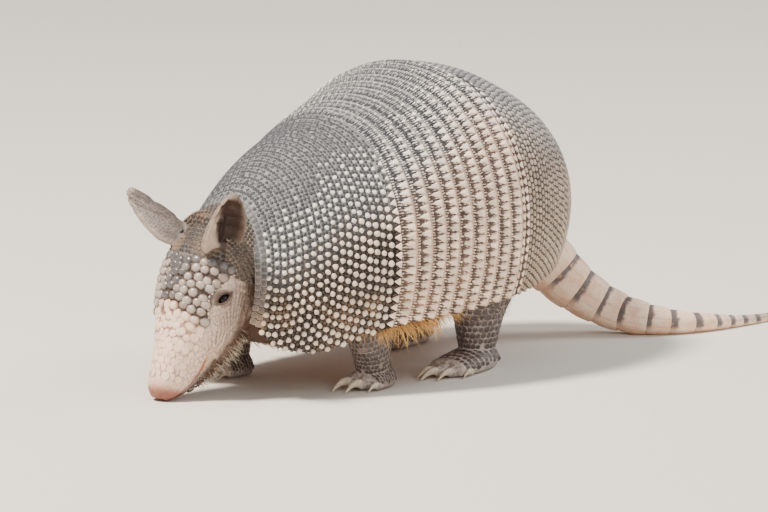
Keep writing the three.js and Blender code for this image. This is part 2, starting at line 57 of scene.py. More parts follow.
shellStations = stationsOf(  # t runs from the neck rim to the tail; each is an arch across the back
    "t topY topZ half edgeY edgeZ under",
    (0.0, -56, 100, 32, -64, 44, 14),
    (0.1, -38, 115, 44, -55, 30, 20),
    (0.2, -14, 130, 57, -33, 26, 22),
    (0.33, 17, 142, 69, 8, 36, 22),
    (0.5, 54, 155, 75, 44, 39, 22),
    (0.66, 88, 164, 78, 80, 42, 22),
    (0.79, 130, 155, 77, 108, 46, 20),
    (0.91, 178, 127.5, 65, 143, 51, 14),
    (1.0, 205, 75, 31, 188, 50, 6),
)
shell = {
    "fullness": 2.1, "thick": 4.0, "gap": 0.8, "bands": 9, "bandsFrom": 0.33, "bandsTo": 0.66,
    "rise": 1.3, "bendFrom": 16, "bendTo": 86, "bendFront": -9 * degree, "bendRear": 6 * degree,
}
headStations = stationsOf(  # s runs from the nape to the nose; half width, and reach above and below the axis
    "s half up down",
    (0, 17, 11, 17),
    (9, 22, 15, 23),
    (22, 24.5, 17.5, 28.5),
    (34, 24, 17, 31.5),
    (44, 22, 15.5, 33.5),
    (55, 18.5, 12.5, 33),
    (69, 13.5, 10, 27.5),
    (77, 11.5, 9, 22),
    (86, 9.8, 7.8, 15),
    (91, 8.6, 6.6, 9.2),
    (93, 6.4, 4.8, 6),
)
head = {"pitch": 66 * degree, "yaw": 5 * degree, "noseY": -98, "noseZ": 2.1, "length": 93}
eye = {"s": 34, "angle": 95 * degree, "radius": 3.6, "sunk": 2.0}
ear = {
    "s": 7, "angle": 46 * degree, "sunk": 3, "length": 45, "half": 13, "rootWidth": 0.7,
    "taperFrom": 0.3, "cup": 0.85, "flatten": 0.45, "thick": 2.1, "fill": 4.0, "fold": 2.4, "lobe": 2.6,
}
earWays = {1: (0.68, 0.53, -0.5), -1: (0.84, 0.4, -0.37)}  # left, right: outward, dorsal, ahead
trunk = {"from": 0.03, "to": 0.992, "reach": 0.97, "drop": 9, "square": 0.7,
         "rump": ((0.92, 0.5), (0.7, 1.0), (0.4, 1.2))}
# The middle of each ring, and its half width and half depth.
neckStations = [
    ((0, -30, 64), 30, 34), ((0, -52, 72), 29, 30), ((0, -63, 75), 26, 27), ((0, -73, 78), 22, 22)]
legs = {
    "front_left": [
        ((45, -2, 56), 15, 18), ((46, 4, 40), 12.5, 14), ((45, 10, 24), 10, 11), ((43, 14, 10), 8.5, 9)],
    "front_right": [
        ((-43, -6, 56), 15, 18), ((-42, -10, 40), 12.5, 14), ((-40, -13, 24), 10, 11),
        ((-38, -14, 10), 8.5, 9)],
    "hind_left": [
        ((46, 98, 64), 20, 30), ((48, 88, 46), 17, 24), ((48, 86, 28), 12, 15), ((47, 86, 11), 9, 10)],
    "hind_right": [
        ((-42, 128, 64), 20, 30), ((-40, 132, 46), 17, 24), ((-34, 138, 28), 12, 15),
        ((-29, 141, 11), 9, 10)],
}
frontFoot = {"length": 15, "half": 12.5, "high": 15, "back": 9}
hindFoot = {"length": 32, "half": 13, "high": 16, "back": 11}
feet = {
    "front_left": {"ankle": (43, 13), "heading": 4 * degree, **frontFoot},
    "front_right": {"ankle": (-38, -15), "heading": -8 * degree, **frontFoot},
    "hind_left": {"ankle": (47, 84), "heading": 2 * degree, **hindFoot},
    "hind_right": {"ankle": (-29, 138), "heading": -4 * degree, **hindFoot},
}
claws = {  # across, ahead, length, thick
    "front": [(-0.95, -5, 9, 2.0), (-0.34, 0, 14, 2.7), (0.34, -0.5, 13, 2.6), (0.98, -6, 9, 2.0)],
    "hind": [
        (-1.05, -11, 8, 1.8), (-0.55, -2, 11, 2.2), (0, 1, 13, 2.4), (0.55, -2, 11, 2.2),
        (1.05, -11, 8, 1.8)],
}
toe = {"length": 7, "sunk": 6}
tailStations = [
    ((-8, 176, 66), 18.4), ((-6, 192, 56), 17.8), ((1, 206, 43), 16.4), ((15, 218, 25.5), 13.3),
    ((30.5, 229, 14), 10.8), ((47, 236, 9), 8.9), ((60, 247, 6.7), 6.8), ((69, 266, 4.7), 5),
    ((75, 297, 2.6), 2.9), ((77, 337, 1.8), 2.1), ((70, 386, 1.2), 1.4),
]


def smooth(low, high, x):
    u = np.clip((x - low) / (high - low), 0, 1)
    return u * u * (3 - 2 * u)


def unit(v):
    return v / np.maximum(np.linalg.norm(v, axis=-1, keepdims=True), 1e-9)


def stack(x, y, z):
    return np.stack(np.broadcast_arrays(x, y, z), -1).astype(float)


def circle(count, turn=0.0):
    return 2 * math.pi * (np.arange(count) + turn) / count


def gridOf(rows, columns):
    return np.meshgrid(rows, columns, indexing="ij")


# Values at x on a smooth cubic through all of the stations, which stand at `at`.
def cubic(at, value, x):
    at, value, x = np.asarray(at, float), np.asarray(value, float), np.asarray(x, float)
    before = np.maximum(np.arange(len(at)) - 1, 0)
    after = np.minimum(np.arange(len(at)) + 1, len(at) - 1)
    deep = (slice(None),) + (None,) * (value.ndim - 1)
    slope = (value[after] - value[before]) / (at[after] - at[before])[deep]
    i = np.clip(np.searchsorted(at, x) - 1, 0, len(at) - 2)
    deep = (Ellipsis,) + (None,) * (value.ndim - 1)
    width = (at[i + 1] - at[i])[deep]
    u = np.clip((x - at[i]) / (at[i + 1] - at[i]), 0, 1)[deep]
    rise = 3 * u**2 - 2 * u**3
    return (1 - rise) * value[i] + rise * value[i + 1] + width * (
        (u**3 - 2 * u**2 + u) * slope[i] + (u**3 - u**2) * slope[i + 1])


# One field of a station list at x.
def along(stations, axis, field, x):
    return cubic([s[axis] for s in stations], [s[field] for s in stations], x)


def bent(p):
    turn = (shell["bendRear"] - shell["bendFront"]) / (shell["bendTo"] - shell["bendFrom"])
    straightAt = shell["bendFrom"] - shell["bendFront"] / turn
    inside = np.clip(p[..., 1], shell["bendFrom"], shell["bendTo"])
    angle = (inside - straightAt) * turn
    past = p[..., 1] - inside
    x = (np.cos(angle) - 1) / turn - np.sin(angle) * past + np.cos(angle) * p[..., 0]
    y = straightAt + np.sin(angle) / turn + np.cos(angle) * past + np.sin(angle) * p[..., 0]
    return stack(x, y, p[..., 2])


def archPoint(t, side):
    under = along(shellStations, "t", "under", t) * degree
    angle = np.abs(side) * (90 * degree + under)
    power = 2 / shell["fullness"]
    swell = lambda v: np.sign(v) * np.abs(v) ** power
    fall = (1 - swell(np.cos(angle))) / (1 - swell(np.cos(90 * degree + under)))
    topY = along(shellStations, "t", "topY", t)
    topZ = along(shellStations, "t", "topZ", t)
    return stack(
        np.sign(side) * along(shellStations, "t", "half", t) * swell(np.sin(angle)),
        topY + (along(shellStations, "t", "edgeY", t) - topY) * fall,
        topZ + (along(shellStations, "t", "edgeZ", t) - topZ) * fall)


# A point of the shell, raised off it by lift. side runs from -1 at the right edge to 1 at the left.
def shellPoint(t, side, lift=0.0):
    t, side, lift = (np.asarray(v, float) for v in np.broadcast_arrays(t, side, lift))
    step = 0.004
    ahead = archPoint(np.maximum(t - step, 0), side)
    behind = archPoint(np.minimum(t + step, 1), side)
    left = archPoint(t, np.minimum(side + step, 1))
    right = archPoint(t, np.maximum(side - step, -1))
    normal = unit(np.cross(left - right, behind - ahead))
    return archPoint(t, side) + normal * lift[..., None]


def shellAt(t, side, lift=0.0):
    return bent(shellPoint(t, side, lift))


headWay = np.array([0, -math.cos(head["pitch"]), -math.sin(head["pitch"])])
headDorsal = np.array([0, -math.sin(head["pitch"]), math.cos(head["pitch"])])
nape = np.array([0, head["noseY"], head["noseZ"]]) - headWay * head["length"]


# A place in the head's own frame: across to the left, up from its axis, and s toward the nose.
def headPlace(across, dorsal, s):
    p = stack(across, 0, 0) + np.multiply.outer(dorsal, headDorsal) + np.multiply.outer(s, headWay)
    c, k = math.cos(-head["yaw"]), math.sin(-head["yaw"])
    return bent(stack(c * p[..., 0] - k * p[..., 1], k * p[..., 0] + c * p[..., 1], p[..., 2]) + nape)


# The other way: where points of the body lie in the head's own frame.
def headFrame(points):
    turn = (shell["bendRear"] - shell["bendFront"]) / (shell["bendTo"] - shell["bendFrom"])
    angle = shell["bendFront"]
    x = points[:, 0] - (math.cos(angle) - 1) / turn
    y = points[:, 1] - (shell["bendFrom"] - angle / turn) - math.sin(angle) / turn
    c, k = math.cos(angle), math.sin(angle)
    p = np.stack([c * x + k * y, -k * x + c * y + shell["bendFrom"], points[:, 2]], -1) - nape
    c, k = math.cos(head["yaw"]), math.sin(head["yaw"])
    p = np.stack([c * p[:, 0] - k * p[:, 1], k * p[:, 0] + c * p[:, 1], p[:, 2]], -1)
    return p[:, 0], p @ headDorsal, p @ headWay


def headPoint(s, angle, lift=0.0):
    s, angle, lift = (np.asarray(v, float) for v in np.broadcast_arrays(s, angle, lift))
    half, up, down = (along(headStations, "s", field, s) for field in ("half", "up", "down"))
    tall = np.where(np.cos(angle) > 0, up, down) + lift
    return headPlace((half + lift) * np.sin(angle), tall * np.cos(angle), s)


def footPlace(foot, across, ahead, up):
    c, k = math.cos(foot["heading"]), math.sin(foot["heading"])
    x, y = foot["ankle"]
    return bent(stack(x + c * across + k * ahead, y + k * across - c * ahead, up))


# The frame stands its origin in the middle of its footprint: this moves our points there.
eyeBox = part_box("eye_left")
eyeHere = headPoint(eye["s"], eye["angle"], -eye["sunk"])
shift = np.array((eyeBox[0] + eyeBox[1]) / 2) / mm - eyeHere


def placed(points):
    return (np.asarray(points, float) + shift) * mm


# A mesh object from points in millimetres and arrays of faces; turned outward, shaded smooth.
def newMesh(name, points, faces, isPlaced=True, isSmooth=True):
    points = placed(points) if isPlaced else np.asarray(points, float)
    faces = [np.asarray(f, int) for f in faces if len(f)]
    volume = 0.0
    for f in faces:
        for k in range(1, f.shape[1] - 1):
            a, b, c = points[f[:, 0]], points[f[:, k]], points[f[:, k + 1]]
            volume += np.einsum("ij,ij->", a, np.cross(b, c))
    if volume < 0:
        faces = [f[:, ::-1] for f in faces]
    mesh = bpy.data.meshes.new(name)
    mesh.vertices.add(len(points))
    mesh.vertices.foreach_set("co", points.astype(np.float32).ravel())
    sizes = np.concatenate([np.full(len(f), f.shape[1]) for f in faces])
    mesh.loops.add(int(sizes.sum()))
    mesh.loops.foreach_set("vertex_index", np.concatenate([f.ravel() for f in faces]).astype(np.int32))
    mesh.polygons.add(len(sizes))
    mesh.polygons.foreach_set("loop_start", (np.cumsum(sizes) - sizes).astype(np.int32))
    mesh.update(calc_edges=True)
    mesh.validate()
    mesh.polygons.foreach_set("use_smooth", np.full(len(mesh.polygons), isSmooth))
    made = bpy.data.objects.new(name, mesh)
    bpy.context.scene.collection.objects.link(made)
    return made


# Quads between neighbouring rings of points.
def ringQuads(rows, sides):
    r, i = gridOf(np.arange(rows - 1), np.arange(sides))
    a, b = r * sides + i, r * sides + (i + 1) % sides
    return np.stack([a, b, b + sides, a + sides], -1).reshape(-1, 4)


# Rings of points, all of one count, joined into a closed solid with a fan over each end.
def loftFaces(rings):
    rows, sides = rings.shape[:2]
    points = np.concatenate([rings.reshape(-1, 3), rings[:1].mean(1), rings[-1:].mean(1)])
    i = np.arange(sides)
    j = (i + 1) % sides
    first, last = len(points) - 2, (rows - 1) * sides
    fans = np.concatenate([
        np.stack([j, i, np.full(sides, first)], -1),
        np.stack([last + i, last + j, np.full(sides, first + 1)], -1)])
    return points, [ringQuads(rows, sides), fans]


# A grid with a second grid under it, closed along all four edges.
def slabFaces(outer, inner):
    rows, columns = outer.shape[:2]
    rings = np.concatenate([outer, inner[:, ::-1]], 1)
    sides = 2 * columns
    quads = [ringQuads(rows, sides)]
    i = np.arange(columns - 1)
    quads.append(np.stack([i + 1, i, sides - 1 - i, sides - 2 - i], -1))
    end = (rows - 1) * sides
    quads.append(np.stack([end + i, end + i + 1, end + sides - 2 - i, end + sides - 1 - i], -1))
    return rings.reshape(-1, 3), [np.concatenate(quads)]


# Values of a slab's outer and inner grid, in the order of its points.
def slabValues(outer, inner=None):
    inner = outer if inner is None else inner
    return np.concatenate([outer, inner[:, ::-1]], 1).reshape(-1, *outer.shape[2:])


def joinForms(forms):
    points, faces, count = [], [], 0
    for p, fs in forms:
        points.append(p)
        faces += [f + count for f in fs]
        count += len(p)
    return np.concatenate(points), faces


def setValue(mesh, name, values):
    kind = "FLOAT" if np.ndim(values) == 1 else "FLOAT_VECTOR"
    data = mesh.attributes.new(name, kind, "POINT").data
    data.foreach_set("value" if kind == "FLOAT" else "vector", np.asarray(values, np.float32).ravel())


def setValues(mesh, **values):
    for name, given in values.items():
        setValue(mesh, name, given)


# One field of all the items of a mesh.
def fetch(items, field, width=1, kind=np.float32):
    values = np.empty(len(items) * width, kind)
    items.foreach_get(field, values)
    return values if width == 1 else values.reshape(-1, width)


def getValue(mesh, name):
    found = mesh.attributes[name]
    return fetch(found.data, "value") if found.data_type == "FLOAT" else fetch(found.data, "vector", 3)


def pointsOf(mesh):
    return fetch(mesh.vertices, "co", 3).astype(float)


# Makes an object's modifiers part of its mesh.
def applied(holder):
    plain = bpy.data.meshes.new_from_object(holder.evaluated_get(bpy.context.evaluated_depsgraph_get()))
    holder.modifiers.clear()
    holder.data = plain
    return plain


def smoothShaded(mesh):
    mesh.polygons.foreach_set("use_smooth", np.ones(len(mesh.polygons), bool))


def finishPiece(piece, nodes=()):
    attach(piece, "root")
    if nodes:
        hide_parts(*nodes)


# Plugs another node's output into a socket or sets its value; a colour gets its alpha.
def give(tree, socket, value):
    if isinstance(value, bpy.types.NodeSocket):
        tree.links.new(value, socket)
    elif hasattr(value, "__len__") and len(value) == 3 and len(socket.default_value) == 4:
        socket.default_value = (*value, 1)
    else:
        socket.default_value = value


def newNode(tree, kind, fields, inputs):
    made = tree.nodes.new(kind)
    for field, value in fields.items():
        setattr(made, field, value)
    for label, value in inputs.items():
        give(tree, made.inputs[label], value)
    return made


# Adds nodes to a material one call at a time; every method returns the output to plug in next.
class Paint:
    def __init__(self, name, roughness=0.5, specular=0.5):
        self.material = bpy.data.materials.new(name)
        self.material.use_nodes = True
        self.tree = self.material.node_tree
        self.surface = self.tree.nodes["Principled BSDF"]
        self.set("Roughness", roughness)
        self.set("Specular IOR Level", specular)
        self.place = self.tree.nodes.new("ShaderNodeTexCoord").outputs["Object"]

    def add(self, kind, fields, inputs):
        return newNode(self.tree, "ShaderNode" + kind, fields, inputs)

    def value(self, name, output="Fac"):
        return self.add("Attribute", {"attribute_name": name}, {}).outputs[output]

    def noise(self, size, detail=3):
        settings = {"Scale": 1 / (size * mm), "Detail": detail, "Roughness": 0.55, "Vector": self.place}
        return self.add("TexNoise", {}, settings).outputs["Fac"]

    def cells(self, size, stretch, feature="F1", place=None, randomness=1.0):
        place = place or self.place
        stretched = self.add("Mapping", {}, {"Scale": stretch, "Vector": place}).outputs["Vector"]
        settings = {"Scale": 1 / (size * mm), "Randomness": randomness, "Vector": stretched}
        return self.add("TexVoronoi", {"feature": feature}, settings).outputs["Distance"]

    def math(self, kind, a, b):
        return self.add("Math", {"operation": kind}, {0: a, 1: b}).outputs[0]

    def times(self, a, b):
        return self.math("MULTIPLY", a, b)

    def swayed(self, a, b, share):  # a, and a share of what b has over a half
        return self.math("ADD", a, self.times(self.math("SUBTRACT", b, 0.5), share))

    def span(self, value, low, high, toLow=0.0, toHigh=1.0):
        settings = dict(enumerate((value, low, high, toLow, toHigh)))
        return self.add("MapRange", {"interpolation_type": "SMOOTHSTEP"}, settings).outputs["Result"]

    def mix(self, factor, a, b, kind="MIX"):
        fields = {"data_type": "RGBA", "blend_type": kind}
        return self.add("Mix", fields, {"Factor": factor, 6: a, 7: b}).outputs[2]

    def over(self, colour, *layers):  # a colour with others laid over it, each by its mask
        for mask, other in layers:
            colour = self.mix(mask, colour, other)
        return colour

    def shaded(self, colour, *shades):  # a colour times each of the shades
        product = shades[0]
        for shade in shades[1:]:
            product = self.times(product, shade)
        grey = self.add("CombineColor", {}, {0: product, 1: product, 2: product}).outputs[0]
        return self.mix(1.0, colour, grey, "MULTIPLY")

    def bump(self, height, depth, strength=1.0):
        before = self.surface.inputs["Normal"]
        settings = {"Distance": depth * mm, "Strength": strength, "Height": height}
        if before.is_linked:
            settings["Normal"] = before.links[0].from_socket
        give(self.tree, before, self.add("Bump", {}, settings).outputs["Normal"])

    def set(self, name, value):
        give(self.tree, self.surface.inputs[name], value)


def rgb(r, g, b):  # a colour as seen on screen, 0 to 255, made linear
    return tuple(((c / 255 + 0.055) / 1.055) ** 2.4 if c > 10 else c / 3294.6 for c in (r, g, b))


# A domed plate in a unit square, closed below. rings are (share of the outline, height).
def plateShape(name, outline, rings, peak=(0.0, 0.0)):
    outline = np.asarray(outline, float)
    peak = np.asarray(peak)
    layers, rim = [], []
    for share, height in rings:
        flat = peak * (1 - share) + outline * share
        layers.append(np.column_stack([flat, np.full(len(flat), height)]))
        rim.append(np.full(len(flat), share))
    count = len(outline)
    top = np.array([[*peak, rings[-1][1] + 0.04]])
    points = np.concatenate(layers + [top])
    last = (len(rings) - 1) * count
    i = np.arange(count)
    fan = np.stack([last + i, last + (i + 1) % count, np.full(count, len(points) - 1)], -1)
    base = i[::-1][None]
    made = newMesh(name, points, [ringQuads(len(rings), count), fan, base], isPlaced=False)
    setValues(made.data, rim=np.concatenate(rim + [[0.0]]), spot=points * [1, 1, 0])
    made.hide_render = True
    patterns.append(made)
    return made


def roundOutline(count, corners=0, sharpness=0.0, turn=0.0):
    angle = circle(count, turn)
    radius = 0.5 * (1 + sharpness * np.cos(corners * angle) if corners else 1 + 0 * angle)
    return np.column_stack([radius * np.cos(angle), radius * np.sin(angle)])


def boxOutline(count, square=7.0):
    c, k = np.cos(circle(count)), np.sin(circle(count))
    radius = 0.5 / (np.abs(c) ** square + np.abs(k) ** square) ** (1 / square)
    return np.column_stack([radius * c, radius * k])


# A point toward -Y and a wide base toward +Y.
def wedgeOutline(tip=0.1, swell=0.85):
    places = [-0.5, -0.36, -0.12, 0.16, 0.4]
    widths = [tip + (1 - tip) * (p + 0.5) ** swell for p in places]
    right = [(w / 2, p) for w, p in zip(widths, places)]
    return [*right, (0.3, 0.5), (-0.3, 0.5), *[(-x, y) for x, y in right[::-1]]]


patterns = []  # the small shapes that plates and hairs are copies of
plateRings = {
    "bead": [(1.0, -0.5), (0.9, 0.25), (0.62, 0.74), (0.3, 0.96)],
    "flat": [(1.0, -0.5), (0.9, 0.55), (0.55, 0.95)],
    "cell": [(1.0, -0.5), (0.86, 0.6)],
}


# The node tree that sets a plate on every seed: turned and sized by the seed, with a little chance.
def scatterTree():
    tree = bpy.data.node_groups.new("scatter", "GeometryNodeTree")
    sockets = (("Seeds", "Geometry"), ("Plate", "Object"), ("Finish", "Material"), ("Width", "Float"),
               ("Rise", "Float"), ("Unevenness", "Float"), ("Lean", "Float"), ("Seed", "Int"))
    for label, kind in sockets:
        tree.interface.new_socket(label, in_out="INPUT", socket_type="NodeSocket" + kind)
    tree.interface.new_socket("Plates", in_out="OUTPUT", socket_type="NodeSocketGeometry")
    given = tree.nodes.new("NodeGroupInput").outputs

    def add(kind, inputs, **fields):
        return newNode(tree, kind, fields, inputs)

    def named(label):
        found = add("GeometryNodeInputNamedAttribute", {"Name": label}, data_type="FLOAT_VECTOR")
        return found.outputs["Attribute"]

    def number(kind, a, b):
        return add("ShaderNodeMath", {0: a, 1: b}, operation=kind).outputs[0]

    def chance(kind, low, high, salt):
        lows, highs, result = (0, 1, 0) if kind == "FLOAT_VECTOR" else (2, 3, 1)
        inputs = {lows: low, highs: high, "Seed": number("ADD", given["Seed"], salt)}
        return add("FunctionNodeRandomValue", inputs, data_type=kind).outputs[result]

    plate = add("GeometryNodeObjectInfo", {"Object": given["Plate"]}, transform_space="ORIGINAL")
    least, most = (number(kind, 1.0, given["Unevenness"]) for kind in ("SUBTRACT", "ADD"))
    wide = number("MULTIPLY", given["Width"], chance("FLOAT", least, most, 1))
    size = add("ShaderNodeCombineXYZ", {0: wide, 1: wide, 2: given["Rise"]})
    scale = add("ShaderNodeVectorMath", {0: size.outputs[0], 1: named("size")}, operation="MULTIPLY")
    spread = add("GeometryNodeInstanceOnPoints", {
        "Points": given["Seeds"], "Instance": plate.outputs["Geometry"],
        "Rotation": named("turn"), "Scale": scale.outputs[0]})
    leanWay = chance("FLOAT_VECTOR", (-1, -1, -1), (1, 1, 1), 2)
    leanBy = add("ShaderNodeVectorMath", {0: leanWay, "Scale": given["Lean"]}, operation="SCALE")
    lean = add("GeometryNodeRotateInstances", {"Instances": spread.outputs[0], "Rotation": leanBy.outputs[0]})
    toned = {"Geometry": lean.outputs[0], "Name": "tone", "Value": chance("FLOAT", 0.0, 1.0, 3)}
    tone = add("GeometryNodeStoreNamedAttribute", toned, domain="INSTANCE")
    real = add("GeometryNodeRealizeInstances", {0: tone.outputs[0]})
    finish = add("GeometryNodeSetMaterial", {"Geometry": real.outputs[0], "Material": given["Finish"]})
    add("NodeGroupOutput", {0: finish.outputs[0]})
    return tree


scatter = scatterTree()
scatterSockets = {s.name: s.identifier for s in scatter.interface.items_tree if s.in_out == "INPUT"}


def sizesOf(width, length, height, like):
    return np.stack(np.broadcast_arrays(width, length, height, like)[:3], -1).astype(float)


# Seeds are points with three axes each. A plate's X runs across, its Y along and its Z out.
def newSeeds(points, across, way, size, root, **values):
    normal = unit(np.cross(across, way))
    side = unit(across)
    way = np.cross(normal, side)
    axes = np.stack([side, way, normal], -1)
    return {"at": points, "axes": axes, "size": size, "root": root, "values": values}


def pickSeeds(seeds, mask):
    cut = {k: seeds[k][mask] for k in ("at", "axes", "size", "root")}
    cut["values"] = {k: v[mask] for k, v in seeds["values"].items()}
    return cut


def mergeSeeds(parts):
    merged = {k: np.concatenate([m[k] for m in parts]) for k in ("at", "axes", "size", "root")}
    merged["values"] = {k: np.concatenate([m["values"][k] for m in parts]) for k in parts[0]["values"]}
    return merged


def eulerOf(axes):  # XYZ angles of rotation matrices
    y = np.arcsin(np.clip(-axes[:, 2, 0], -1, 1))
    x = np.arctan2(axes[:, 2, 1], axes[:, 2, 2])
    z = np.arctan2(axes[:, 1, 0], axes[:, 0, 0])
    return np.stack([x, y, z], -1)


def plates(name, seeds, shape, finish, unevenness=0.05, lean=0.05, seed=1):
    mesh = bpy.data.meshes.new(name)
    mesh.from_pydata(placed(seeds["at"]).tolist(), [], [])
    flat = np.zeros(len(seeds["at"]))
    setValues(mesh, turn=eulerOf(seeds["axes"]), size=seeds["size"] * mm,
              root=np.column_stack([seeds["root"], flat]),
              reach=np.column_stack([seeds["size"][:, :2], flat]), **seeds["values"])
    holder = bpy.data.objects.new(name, mesh)
    bpy.context.scene.collection.objects.link(holder)
    modifier = holder.modifiers.new("scatter", "NODES")
    modifier.node_group = scatter
    settings = {"Plate": shape, "Finish": finish, "Width": 1.0, "Rise": 1.0,
                "Unevenness": unevenness, "Lean": lean, "Seed": seed}
    for label, value in settings.items():
        modifier[scatterSockets[label]] = value
    plain = applied(holder)
    bpy.data.meshes.remove(mesh)
    plain.name = name
    smoothShaded(plain)
    return holder


def joined(name, pieces):
    for o in bpy.context.selected_objects:
        o.select_set(False)
    for o in pieces:
        o.select_set(True)
    bpy.context.view_layer.objects.active = pieces[0]
    if len(pieces) > 1:
        bpy.ops.object.join()
    made = pieces[0]
    made.name = name
    made.data.name = name
    return made


# The bake map: every plate is a small patch at its own root on the unwrapped surface.
def bakeMap(piece, span, patch):
    mesh = piece.data
    root, spot, reach = getValue(mesh, "root")[:, :2], getValue(mesh, "spot"), getValue(mesh, "reach")
    if patch is None:
        local = spot[:, :2] * reach[:, :2] / span
    else:
        local = spot[:, :2] * patch
        root = 0.04 + 0.92 * (root - root.min(0)) / np.ptp(root, axis=0)
    corners = fetch(mesh.loops, "vertex_index", kind=np.int32)
    sizes = fetch(mesh.polygons, "loop_total", kind=np.int32)
    face = np.repeat(np.arange(len(sizes)), sizes)
    least = np.full(len(sizes), 9.0)
    np.minimum.at(least, face, getValue(mesh, "rim")[corners])
    isUnder = (least > 0.999) & (sizes > 4)
    shown = np.where(isUnder, 0.06, 1.0)[face][:, None]  # the underside shrinks to a dot
    uv = root[corners] + local[corners] * shown
    if patch is None:
        uv = 0.01 + 0.98 * (uv - uv.min(0)) / np.ptp(uv, axis=0)
    layer = mesh.uv_layers.new(name="OFBake")
    layer.data.foreach_set("uv", uv.astype(np.float32).ravel())
    for name in ("turn", "size", "root", "reach", "spot"):
        if name in mesh.attributes:
            mesh.attributes.remove(mesh.attributes[name])


def triangles(piece):
    piece.data.calc_loop_triangles()
    return len(piece.data.loop_triangles)


# Plates joined into one piece. span is the size of the surface under them, for the bake map.
def platePiece(name, parts, span=(1, 1), patch=None):
    piece = joined(name, parts)
    bakeMap(piece, span, patch)
    finishPiece(piece)
    print(name, triangles(piece))


# Where the pale flank scutes give way to the slate ones of the back, as |side|, for each t.
def flankLine(t):
    at = [0.0, 0.12, 0.22, 0.33, 0.45, 0.62, 0.72, 1.0]
    return np.interp(t, at, [0.62, 0.52, 0.42, 0.4, 0.33, 0.2, 0.3, 0.36])


# 0 on the back, 1 low on the flank; on the right side the slate reaches further down, as painted shade of
# that side.
def paleness(t, side):
    below = np.abs(side) - flankLine(t) - 0.14 * (np.asarray(side) < 0)
    return np.clip((below + 0.2) / 0.55, 0, 1)


fineSides = np.linspace(-1, 1, 241)


def arcLengths(line):
    return np.concatenate([[0], np.cumsum(np.linalg.norm(np.diff(line, axis=0), axis=1))])


# Sides of points a set distance apart along an arch, counted up from both lower edges, with their
# distance from the crown. The spacing gives a little so that the two runs meet.
def archRow(t, spacing, offset=0.5, margin=0.4):
    length = arcLengths(shellPoint(t, fineSides))
    middle = length[-1] / 2
    count = int(round((middle - margin) / spacing))
    reach = margin + (np.arange(count) + offset) * (middle - margin) / count
    left = np.interp(length[-1] - reach, length, fineSides)
    ridge = [] if offset else [0.0]  # rows without an offset have one more in the middle
    place = np.concatenate([reach - middle, middle - reach, ridge])
    column = np.concatenate([np.tile(np.arange(count), 2), np.full(len(ridge), count)])
    return np.concatenate([-left, left, ridge]), place, column


# t values spaced evenly over the surface, as measured at one side.
def backRows(fromT, toT, gap, side=0.6):
    fine = np.linspace(fromT, toT, 200)
    length = arcLengths(shellPoint(fine, side))
    count = max(int(round(length[-1] / gap)), 1)
    return np.interp((np.arange(count) + 0.5) * length[-1] / count, length, fine)


def mmPerT(t, side):
    ahead, behind = np.maximum(t - 0.003, 0), np.minimum(t + 0.003, 1)
    return np.linalg.norm(shellPoint(behind, side) - shellPoint(ahead, side), axis=-1) / (behind - ahead)


spanAcross = 310.0  # the widest arch, for the bake maps
mapShare = 0.94  # how much of a bake map the roots of the plates take up


# Seeds on the shell. The piece's lift is the surface that they stand on, raised lifts each off it.
def shellSeeds(piece, t, side, place, width, length, height, raised=0.0, turned=0.0):
    t, side = (np.asarray(v, float) for v in np.broadcast_arrays(t, side))
    lift, step = piece["lift"], 0.003
    at = shellAt(t, side, lift(t) + raised)
    across = shellAt(t, np.minimum(side + step, 1)) - shellAt(t, np.maximum(side - step, -1))
    ahead, behind = np.clip(t - step, piece["from"], 1), np.clip(t + step, 0, piece["to"])
    way = shellAt(behind, side, lift(behind)) - shellAt(ahead, side, lift(ahead))
    across = unit(across)
    way = unit(np.cross(np.cross(across, way), across))
    angle = np.broadcast_to(np.asarray(turned, float), t.shape)[:, None]
    across, way = across * np.cos(angle) + way * np.sin(angle), way * np.cos(angle) - across * np.sin(angle)
    v = (t - piece["from"]) / (piece["to"] - piece["from"])
    root = np.column_stack([0.5 + mapShare * place / spanAcross, 0.03 + mapShare * v])
    size = sizesOf(width, length, height, t)
    return newSeeds(at, across, way, size, root, pale=paleness(t, side), crown=1 - np.abs(side))


def shellSheet(name, piece, rows, finish, columns=140):
    t = np.linspace(piece["from"], piece["to"], rows + 1)
    side = np.linspace(-1, 1, columns + 1)
    t, side = gridOf(t, side)
    lift = piece["lift"](t)
    made = newMesh(name, *slabFaces(shellAt(t, side, lift), shellAt(t, side, lift - shell["thick"] + 1)))
    rear = (t - piece["from"]) / (piece["to"] - piece["from"])
    setValues(made.data, pale=slabValues(paleness(t, side)), crown=slabValues(1 - np.abs(side)),
              rear=slabValues(rear))
    made.data.materials.append(finish)
    return made


# The slate, and the greys the paints below give the top of the shell, are the darker horn of the back with a
# painted blue-grey sky reflection in them.
hornColour = {
    "bead": rgb(230, 212, 194), "beadBright": rgb(246, 242, 236), "ground": rgb(34, 28, 25),
    "slate": rgb(58, 60, 65), "net": rgb(146, 145, 143), "dust": rgb(196, 156, 112),
}


